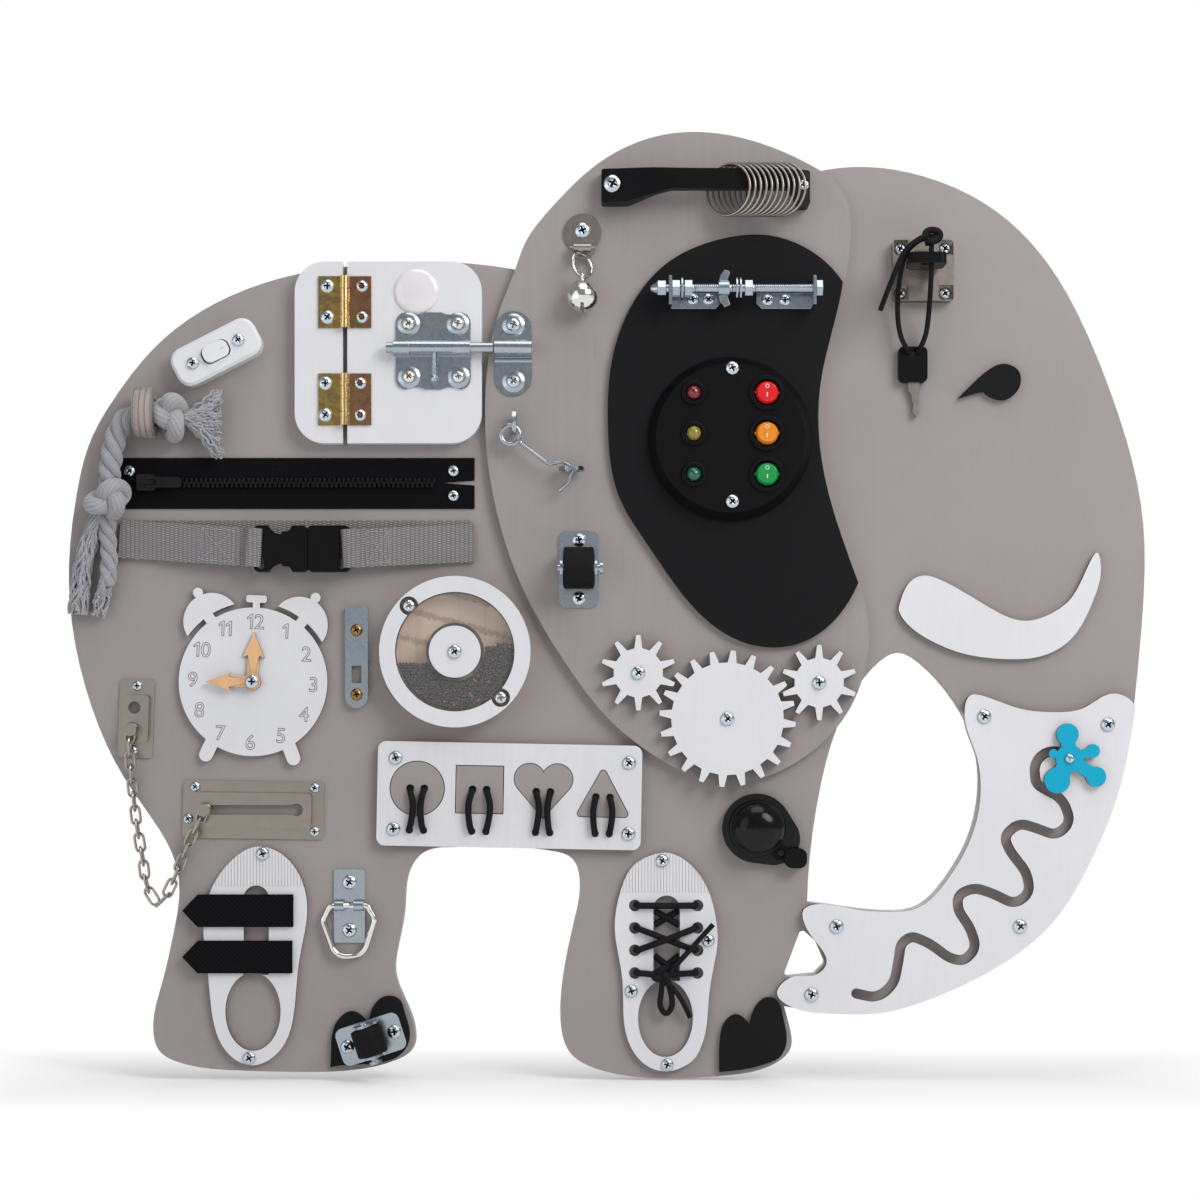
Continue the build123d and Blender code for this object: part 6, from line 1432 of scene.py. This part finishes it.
def finish_tail(sizes):
    """The wooden loop, the laid rope through it, its two knots, its loose leg and the two tassels."""
    finish_node("tail_loop", "loop_wood", 0.6)
    knots = bmesh.new()
    for centre, size, turn in TAIL_KNOTS:
        lobes = knot_lobes(centre, size, turn)
        add_tube(knots, lobes[:-1] + [lobes[0]], 5.6, 16, caps=False)
    knots = settle("tail_knots", knots, "yarn", "board", smooth_below=80)
    yarns = bmesh.new()
    add_frayed(yarns, even_line(nurbs_line(RIGHT_END), 2.0), 46, LEG_R * 0.6, LEG_R * 0.9, 5, 0.7, 0.8, 0.4)
    for index in range(TASSEL_YARNS):
        tilt = (index / (TASSEL_YARNS - 1) - 0.5) * 2
        spread = [Vector((x, y + tilt * 24 * (k / 3) ** 1.1 * (1 + 0.1 * math.sin(index * 5)),
                          z + 1.8 * math.sin(index * 2.1))) for k, (x, y, z) in enumerate(TASSEL)]
        add_frayed(yarns, even_line(nurbs_line(spread), 1.6), 5, 2.6, 2.4, index, 0.6, 0.8, 0.25)
    tassels = settle("tail_tassels", yarns, "fibre", "board", smooth_below=80)
    line = even_line(nurbs_line(TAIL_ROUTE), 1.2)

    def rope_radius(part):
        return ROPE_R + (ROPE_END_R - ROPE_R) * min(1, max(0, part - ROPE_THINS) * 5)

    rope = bmesh.new()
    add_rope(rope, line, rope_radius, sizes.strand_turns / 100)
    rope = settle("tail_rope_finished", rope, "yarn", "board", ("tail_rope",), 80)
    free_cord(line)
    line = even_line(nurbs_line(LEFT_LEG), 2.0)
    leg = bmesh.new()
    add_frayed(leg, line, 60, LEG_R * 0.8, LEG_R, 3, 1.1, 0.95, 0.06)
    leg = settle("tail_leg", leg, "fibre", "board", smooth_below=80)
    free_cord(line)


ZIP_MID_Y = 80.6
ZIP_TOP = 13.1
COIL_X = (-300.0, -110.0)
TOOTH_PITCH = 1.55
# half a tooth's width and its reach across the zipper, at its foot and at its tip, and its height
TOOTH_FOOT, TOOTH_TIP, TOOTH_H = (1.05, 3.2), (0.55, -0.9), 2.1


def finish_zipper():
    dress("zipper_tape", lambda low, high, face: "zip_cloth", 0.15)
    finish_node("zipper_slider", "zip_plastic", 0.4)
    shape = bmesh.new()
    (foot_x, foot_y), (tip_x, tip_y) = TOOTH_FOOT, TOOTH_TIP
    corners = [(-foot_x, foot_y), (-tip_x, tip_y), (tip_x, tip_y), (foot_x, foot_y)]
    lower, upper = ([shape.verts.new((x, y, z)) for x, y in corners] for z in (0, TOOTH_H))
    shape.faces.new(lower[::-1])
    shape.faces.new(upper)
    quads(shape, lower, upper)
    bmesh.ops.recalc_face_normals(shape, faces=shape.faces)
    bmesh.ops.bevel(shape, geom=shape.edges[:], offset=0.25, segments=1, affect="EDGES")
    places = [((COIL_X[0] + index * TOOTH_PITCH, ZIP_MID_Y, ZIP_TOP), (0, 0, 0.0 if index % 2 else math.pi), UNIT)
              for index in range(int((COIL_X[1] - COIL_X[0]) / TOOTH_PITCH))]
    scatter("zipper_teeth", shape, places, "zip_plastic", "board")


WEBBING_T, WEBBING_HALF = 1.6, 12.5
# half the width of a stitched box
STITCH_HALF = 10.2
FOLD_TOP = 27.0
# for each front webbing: where it starts, its turn, its runs of underside heights, its fold and its stitched box
FRONT_WEBBINGS = (
    ((-317.5, 43.9), -4.0, ((0, 14.1), (18, 14.1), (62, 19.7), (95, 19.7)), (80.5, 94.2), (54.0, 75.5)),
    ((-86.0, 41.3), 3.0, ((0, 14.1), (-18, 14.1), (-62, 19.7), (-96, 19.7)), (-72.5, -85.6), (-55.6, -70.1)))


def webbing_top(run, heights):
    """The height of the webbing's upper side at a distance from its start."""
    for (start, low), (end, high) in zip(heights, heights[1:]):
        if min(start, end) <= run <= max(start, end):
            return low + (high - low) * (run - start) / (end - start) + WEBBING_T
    raise ValueError(f"{run} is not on the webbing")


def finish_strap(sizes):
    """Grey webbing, its stitched ends, the black straps of the shoe and the buckle."""
    def strap(low, high, face):
        return "strap_cloth" if high.y < SHOE_TOP_Y else "webbing"

    dress("strap_webbing", strap, 0.35)
    finish_node("strap_front_right", "webbing", 0.35)
    finish_node("buckle_socket", "satin_black", 0.7)
    finish_node("buckle_prongs", "satin_black", 0.7)
    stitch = bmesh.new()
    add_tube(stitch, [Vector((-0.5, 0, -0.1)), Vector((-0.3, 0, 0.12)), Vector((0.3, 0, 0.12)), Vector((0.5, 0, -0.1))],
             0.2, 5)
    places = []
    for (start_x, start_y), turn, heights, fold, (x0, x1) in FRONT_WEBBINGS:
        place = Matrix.Translation((start_x, start_y, 0)) @ Matrix.Rotation(math.radians(turn), 4, "Z")
        y0, y1 = -STITCH_HALF, STITCH_HALF
        runs = [((x0, y0), (x1, y0)), ((x1, y0), (x1, y1)), ((x1, y1), (x0, y1)), ((x0, y1), (x0, y0)),
                ((x0, y0), (x1, y1)), ((x0, y1), (x1, y0))]
        for start, end in runs:
            count = int(math.dist(start, end) / (sizes.stitch_length * 1.25))
            heading = math.atan2(end[1] - start[1], end[0] - start[0])
            for step in range(count):
                part = (step + 0.5) / count
                run = start[0] + (end[0] - start[0]) * part
                spot = place @ Vector((run, start[1] + (end[1] - start[1]) * part, webbing_top(run, heights) + 0.12))
                places.append((spot, (0, 0, heading + math.radians(turn)), (sizes.stitch_length, 1, 1)))
        body = "board" if turn < 0 else BODY_OF["buckle_prongs"]
        bm = bmesh.new()
        add_fold(bm, fold, heights[-1][1])
        bm.transform(place)
        settle(f"webbing_fold_{'left' if turn < 0 else 'right'}", bm, "webbing", body,
               smooth_below=50)
    scatter("strap_stitches", stitch, places, "thread", "board")


def add_fold(bm, runs, low):
    """The end of a webbing that climbs over the buckle's bar and goes down through its slot."""
    start, end = runs
    way = math.copysign(1, end - start)
    outer = [(start, low + WEBBING_T), (start + way * 4.5, FOLD_TOP), (end - way * 3.4, FOLD_TOP)]
    inner = [(start + way * 1.0, low), (start + way * 5.4, FOLD_TOP - WEBBING_T),
             (end - way * 3.4, FOLD_TOP - WEBBING_T)]
    for step in range(1, 5):
        angle = math.radians(90 - 22.5 * step)
        across, up = way * math.cos(angle), math.sin(angle)
        outer.append((end - way * 3.4 + 3.4 * across, FOLD_TOP - 3.4 + 3.4 * up))
        inner.append((end - way * 3.4 + 1.8 * across, FOLD_TOP - 3.4 + 1.8 * up))
    outer.append((end, low - 1))
    inner.append((end - way * WEBBING_T, low - 1))
    lower, upper = ([bm.verts.new((x, y, z)) for x, z in outer + inner[::-1]] for y in (-WEBBING_HALF, WEBBING_HALF))
    bm.faces.new(lower)
    bm.faces.new(upper[::-1])
    quads(bm, lower, upper)
    bmesh.ops.recalc_face_normals(bm, faces=bm.faces)


# ---------------------------------------------------------------- stage
CAMERA_DISTANCE = 1.6
FRAME_WIDTH = 0.78
IMAGE_CENTRE = (-0.0042, 0.0039)
SHIFT = 0.1
FLOOR_GAP = 0.0012


def build_stage():
    scene = bpy.context.scene
    scene.view_settings.view_transform = "Standard"
    low = CAD_BOX[0]
    floor_z = low.z - FLOOR_GAP
    floor = bpy.data.meshes.new("floor")
    reach = 30.0
    floor.from_pydata([(-reach, -reach, floor_z), (reach, -reach, floor_z), (reach, reach, floor_z),
                       (-reach, reach, floor_z)], [], [(0, 1, 2, 3)])
    paper = Finish("pale_floor", (0.86, 0.86, 0.86, 1), 0.9, Specular_IOR_Level=0.1)
    white = paper.add("ShaderNodeEmission", {"Color": (1, 1, 1, 1), "Strength": 1.0})
    blend = paper.add("ShaderNodeMixShader")
    place = paper.split(paper.spot("Object"))
    beside = paper.math("SUBTRACT", paper.math("ABSOLUTE", place["X"]), 0.3)
    distance = paper.math("MAXIMUM", beside, paper.math("ABSOLUTE", place["Y"]))
    fade = paper.add("ShaderNodeMapRange", {"Value": distance, "From Min": -0.05, "From Max": 0.14})
    seen = paper.add("ShaderNodeLightPath")
    either = paper.math("MAXIMUM", seen.outputs["Is Camera Ray"], seen.outputs["Is Glossy Ray"])
    either = paper.math("MAXIMUM", either, seen.outputs["Is Transmission Ray"])
    paper.feed(blend.inputs["Fac"], paper.math("MULTIPLY", fade.outputs["Result"], either))
    paper.feed(blend.inputs[1], paper.shader.outputs["BSDF"])
    paper.feed(blend.inputs[2], white.outputs["Emission"])
    paper.feed(paper.tree.nodes["Material Output"].inputs["Surface"], blend.outputs["Shader"])
    floor.materials.append(paper.material)
    add_object("floor", floor)

    world = bpy.data.worlds.new("studio")
    scene.world = world
    world.use_nodes = True
    tree = world.node_tree
    tree.nodes.clear()
    out = tree.nodes.new("ShaderNodeOutputWorld")
    plain, backdrop = tree.nodes.new("ShaderNodeBackground"), tree.nodes.new("ShaderNodeBackground")
    plain.inputs["Color"].default_value = (0.95, 0.97, 1.0, 1)
    plain.inputs["Strength"].default_value = 0.27
    backdrop.inputs["Color"].default_value = (1, 1, 1, 1)
    backdrop.inputs["Strength"].default_value = 1.0
    path = tree.nodes.new("ShaderNodeLightPath")
    clear = tree.nodes.new("ShaderNodeMath")
    clear.operation = "MAXIMUM"
    pick = tree.nodes.new("ShaderNodeMixShader")
    tree.links.new(path.outputs["Is Camera Ray"], clear.inputs[0])
    tree.links.new(path.outputs["Is Transmission Ray"], clear.inputs[1])
    tree.links.new(clear.outputs["Value"], pick.inputs["Fac"])
    tree.links.new(plain.outputs["Background"], pick.inputs[1])
    tree.links.new(backdrop.outputs["Background"], pick.inputs[2])
    tree.links.new(pick.outputs["Shader"], out.inputs["Surface"])

    for name, place, size, power, tint in (
            ("key_light", (1.2, -1.35, 1.1), 1.2, 25.0, (1.0, 0.99, 0.975)),
            ("fill_light", (-1.4, -1.3, 0.3), 1.6, 6.0, (0.95, 0.97, 1.0)),
            ("top_light", (0.1, -0.5, 1.6), 1.2, 8.0, (1.0, 1.0, 1.0)),
            ("back_light", (0.0, 1.6, 0.6), 1.6, 12.0, (1.0, 1.0, 1.0))):
        data = bpy.data.lights.new(name, "AREA")
        data.shape = "DISK"
        data.size = size
        data.energy = power
        data.color = tint
        lamp = add_object(name, data)
        lamp.location = place
        lamp.rotation_euler = (-Vector(place)).to_track_quat("-Z", "Y").to_euler()

    data = bpy.data.cameras.new("camera")
    data.sensor_width = 36
    data.lens = 36 * CAMERA_DISTANCE / FRAME_WIDTH
    data.shift_y = SHIFT
    data.clip_start = 0.01
    data.clip_end = 100
    camera = add_object("camera", data)
    camera.location = (IMAGE_CENTRE[0], low.y - CAMERA_DISTANCE + 0.04, IMAGE_CENTRE[1] - SHIFT * FRAME_WIDTH)
    camera.rotation_euler = (math.radians(90), 0, 0)
    scene.camera = camera


# ---------------------------------------------------------------- operators
class Undoable:
    """What every operator of the board shares."""
    bl_options = {"REGISTER", "UNDO"}


class BOARD_OT_mix_finishes(Undoable, bpy.types.Operator):
    """Mixes every paint, metal, plastic and cloth of the board"""
    bl_idname = "board.mix_finishes"
    bl_label = "Paints and cloths"

    def execute(self, context):
        make_finishes(context.scene.board_look)
        return {"FINISHED"}


class BOARD_OT_build_stage(Undoable, bpy.types.Operator):
    """Builds the floor, the studio light and the camera"""
    bl_idname = "board.build_stage"
    bl_label = "Stage"

    def execute(self, context):
        build_stage()
        return {"FINISHED"}


class BOARD_OT_finish_tail(Undoable, bpy.types.Operator):
    """Lays the tail's rope, knots and loose yarns"""
    bl_idname = "board.finish_tail"
    bl_label = "Tail"

    def execute(self, context):
        finish_tail(context.scene.board_sizes)
        return {"FINISHED"}


class BOARD_OT_finish_lock(Undoable, bpy.types.Operator):
    """Finishes the lock, the keys and their cord"""
    bl_idname = "board.finish_lock"
    bl_label = "Lock and keys"

    def execute(self, context):
        finish_lock()
        return {"FINISHED"}


class BOARD_OT_finish_lace(Undoable, bpy.types.Operator):
    """Laces the front shoe"""
    bl_idname = "board.finish_lace"
    bl_label = "Lace"

    def execute(self, context):
        finish_lace()
        return {"FINISHED"}


class BOARD_OT_finish_shapes(Undoable, bpy.types.Operator):
    """Finishes the tray, the four shapes and their cords"""
    bl_idname = "board.finish_shapes"
    bl_label = "Shapes"

    def execute(self, context):
        finish_shapes()
        return {"FINISHED"}


class BOARD_OT_finish_board(Undoable, bpy.types.Operator):
    """Paints the board, the ear and the dark linings"""
    bl_idname = "board.finish_board"
    bl_label = "Board and panels"

    def execute(self, context):
        finish_board()
        return {"FINISHED"}


class BOARD_OT_finish_maze(Undoable, bpy.types.Operator):
    """Paints the runner of the trunk's maze and sets the panel's screws"""
    bl_idname = "board.finish_maze"
    bl_label = "Trunk maze"

    def execute(self, context):
        finish_maze()
        return {"FINISHED"}


class BOARD_OT_finish_screws(Undoable, bpy.types.Operator):
    """Puts pan heads on the board's screws"""
    bl_idname = "board.finish_screws"
    bl_label = "Screws"

    def execute(self, context):
        finish_screws()
        return {"FINISHED"}


class BOARD_OT_finish_door(Undoable, bpy.types.Operator):
    """Finishes the door, its hinges, its bolt and its plain round badge"""
    bl_idname = "board.finish_door"
    bl_label = "Door"

    def execute(self, context):
        finish_door()
        return {"FINISHED"}


class BOARD_OT_finish_clock(Undoable, bpy.types.Operator):
    """Finishes the clock's face, digits and hands"""
    bl_idname = "board.finish_clock"
    bl_label = "Clock"

    def execute(self, context):
        finish_clock()
        return {"FINISHED"}


class BOARD_OT_finish_seed_wheel(Undoable, bpy.types.Operator):
    """Finishes the wheel and fills it with seeds"""
    bl_idname = "board.finish_seed_wheel"
    bl_label = "Seed wheel"

    def execute(self, context):
        finish_seed_wheel(context.scene.board_sizes)
        return {"FINISHED"}


class BOARD_OT_finish_chain(Undoable, bpy.types.Operator):
    """Makes the chain's links of round wire and finishes its plates"""
    bl_idname = "board.finish_chain"
    bl_label = "Chain"

    def execute(self, context):
        finish_chain()
        return {"FINISHED"}


class BOARD_OT_finish_plates(Undoable, bpy.types.Operator):
    """Finishes the tusk, the door's strip and the shoes"""
    bl_idname = "board.finish_plates"
    bl_label = "Plates"

    def execute(self, context):
        finish_plates()
        return {"FINISHED"}


class BOARD_OT_finish_fittings(Undoable, bpy.types.Operator):
    """Finishes the tie-down, rollers, eyes and hook"""
    bl_idname = "board.finish_fittings"
    bl_label = "Fittings"

    def execute(self, context):
        finish_fittings()
        return {"FINISHED"}


class BOARD_OT_finish_jingle_bell(Undoable, bpy.types.Operator):
    """Finishes the bell and its ring"""
    bl_idname = "board.finish_jingle_bell"
    bl_label = "Jingle bell"

    def execute(self, context):
        finish_jingle_bell()
        return {"FINISHED"}


class BOARD_OT_finish_handle(Undoable, bpy.types.Operator):
    """Finishes the handle and rounds its rings"""
    bl_idname = "board.finish_handle"
    bl_label = "Handle and rings"

    def execute(self, context):
        finish_handle()
        return {"FINISHED"}


class BOARD_OT_finish_bolt(Undoable, bpy.types.Operator):
    """Cuts the thread and finishes the brackets and the wing nut"""
    bl_idname = "board.finish_bolt"
    bl_label = "Threaded bolt"

    def execute(self, context):
        finish_bolt()
        return {"FINISHED"}


class BOARD_OT_finish_light_box(Undoable, bpy.types.Operator):
    """Finishes the light box, lamps, rockers and their marks"""
    bl_idname = "board.finish_light_box"
    bl_label = "Light box"

    def execute(self, context):
        finish_light_box()
        return {"FINISHED"}


class BOARD_OT_finish_gears(Undoable, bpy.types.Operator):
    """Finishes the three gears"""
    bl_idname = "board.finish_gears"
    bl_label = "Gears"

    def execute(self, context):
        finish_gears()
        return {"FINISHED"}


class BOARD_OT_finish_bike_bell(Undoable, bpy.types.Operator):
    """Finishes the bell and its lever"""
    bl_idname = "board.finish_bike_bell"
    bl_label = "Bike bell"

    def execute(self, context):
        finish_bike_bell()
        return {"FINISHED"}


class BOARD_OT_finish_switch(Undoable, bpy.types.Operator):
    """Finishes the rocker switch"""
    bl_idname = "board.finish_switch"
    bl_label = "Switch"

    def execute(self, context):
        finish_switch()
        return {"FINISHED"}


class BOARD_OT_finish_zipper(Undoable, bpy.types.Operator):
    """Weaves the zipper's tape and sets its teeth"""
    bl_idname = "board.finish_zipper"
    bl_label = "Zipper"

    def execute(self, context):
        finish_zipper()
        return {"FINISHED"}


class BOARD_OT_finish_strap(Undoable, bpy.types.Operator):
    """Weaves and stitches the webbing and finishes the buckle"""
    bl_idname = "board.finish_strap"
    bl_label = "Strap and buckle"

    def execute(self, context):
        finish_strap(context.scene.board_sizes)
        return {"FINISHED"}


OPERATORS = (
    BOARD_OT_mix_finishes,
    BOARD_OT_build_stage,
    BOARD_OT_finish_tail,
    BOARD_OT_finish_lock,
    BOARD_OT_finish_lace,
    BOARD_OT_finish_shapes,
    BOARD_OT_finish_board,
    BOARD_OT_finish_maze,
    BOARD_OT_finish_screws,
    BOARD_OT_finish_door,
    BOARD_OT_finish_clock,
    BOARD_OT_finish_seed_wheel,
    BOARD_OT_finish_chain,
    BOARD_OT_finish_plates,
    BOARD_OT_finish_fittings,
    BOARD_OT_finish_jingle_bell,
    BOARD_OT_finish_handle,
    BOARD_OT_finish_bolt,
    BOARD_OT_finish_light_box,
    BOARD_OT_finish_gears,
    BOARD_OT_finish_bike_bell,
    BOARD_OT_finish_switch,
    BOARD_OT_finish_zipper,
    BOARD_OT_finish_strap,
)


class BOARD_PT_panel(bpy.types.Panel):
    """Lists the pieces of the board."""
    bl_label = "Busy board"
    bl_idname = "BOARD_PT_panel"
    bl_space_type = "VIEW_3D"
    bl_region_type = "UI"
    bl_category = "Busy board"

    def draw(self, context):
        for group in (context.scene.board_look, context.scene.board_sizes):
            for name in group.bl_rna.properties.keys():
                if name not in ("rna_type", "name"):
                    self.layout.prop(group, name)
        for operator in OPERATORS:
            self.layout.operator(operator.bl_idname)


CLASSES = (BoardLook, BoardSizes, *OPERATORS, BOARD_PT_panel)


def register():
    for item in CLASSES:
        bpy.utils.register_class(item)
    bpy.types.Scene.board_look = bpy.props.PointerProperty(type=BoardLook)
    bpy.types.Scene.board_sizes = bpy.props.PointerProperty(type=BoardSizes)


def unregister():
    del bpy.types.Scene.board_sizes
    del bpy.types.Scene.board_look
    for item in reversed(CLASSES):
        bpy.utils.unregister_class(item)


def main():
    register()
    for operator in OPERATORS:
        getattr(bpy.ops.board, operator.bl_idname.split(".")[1])()


if __name__ == "__main__":
    main()
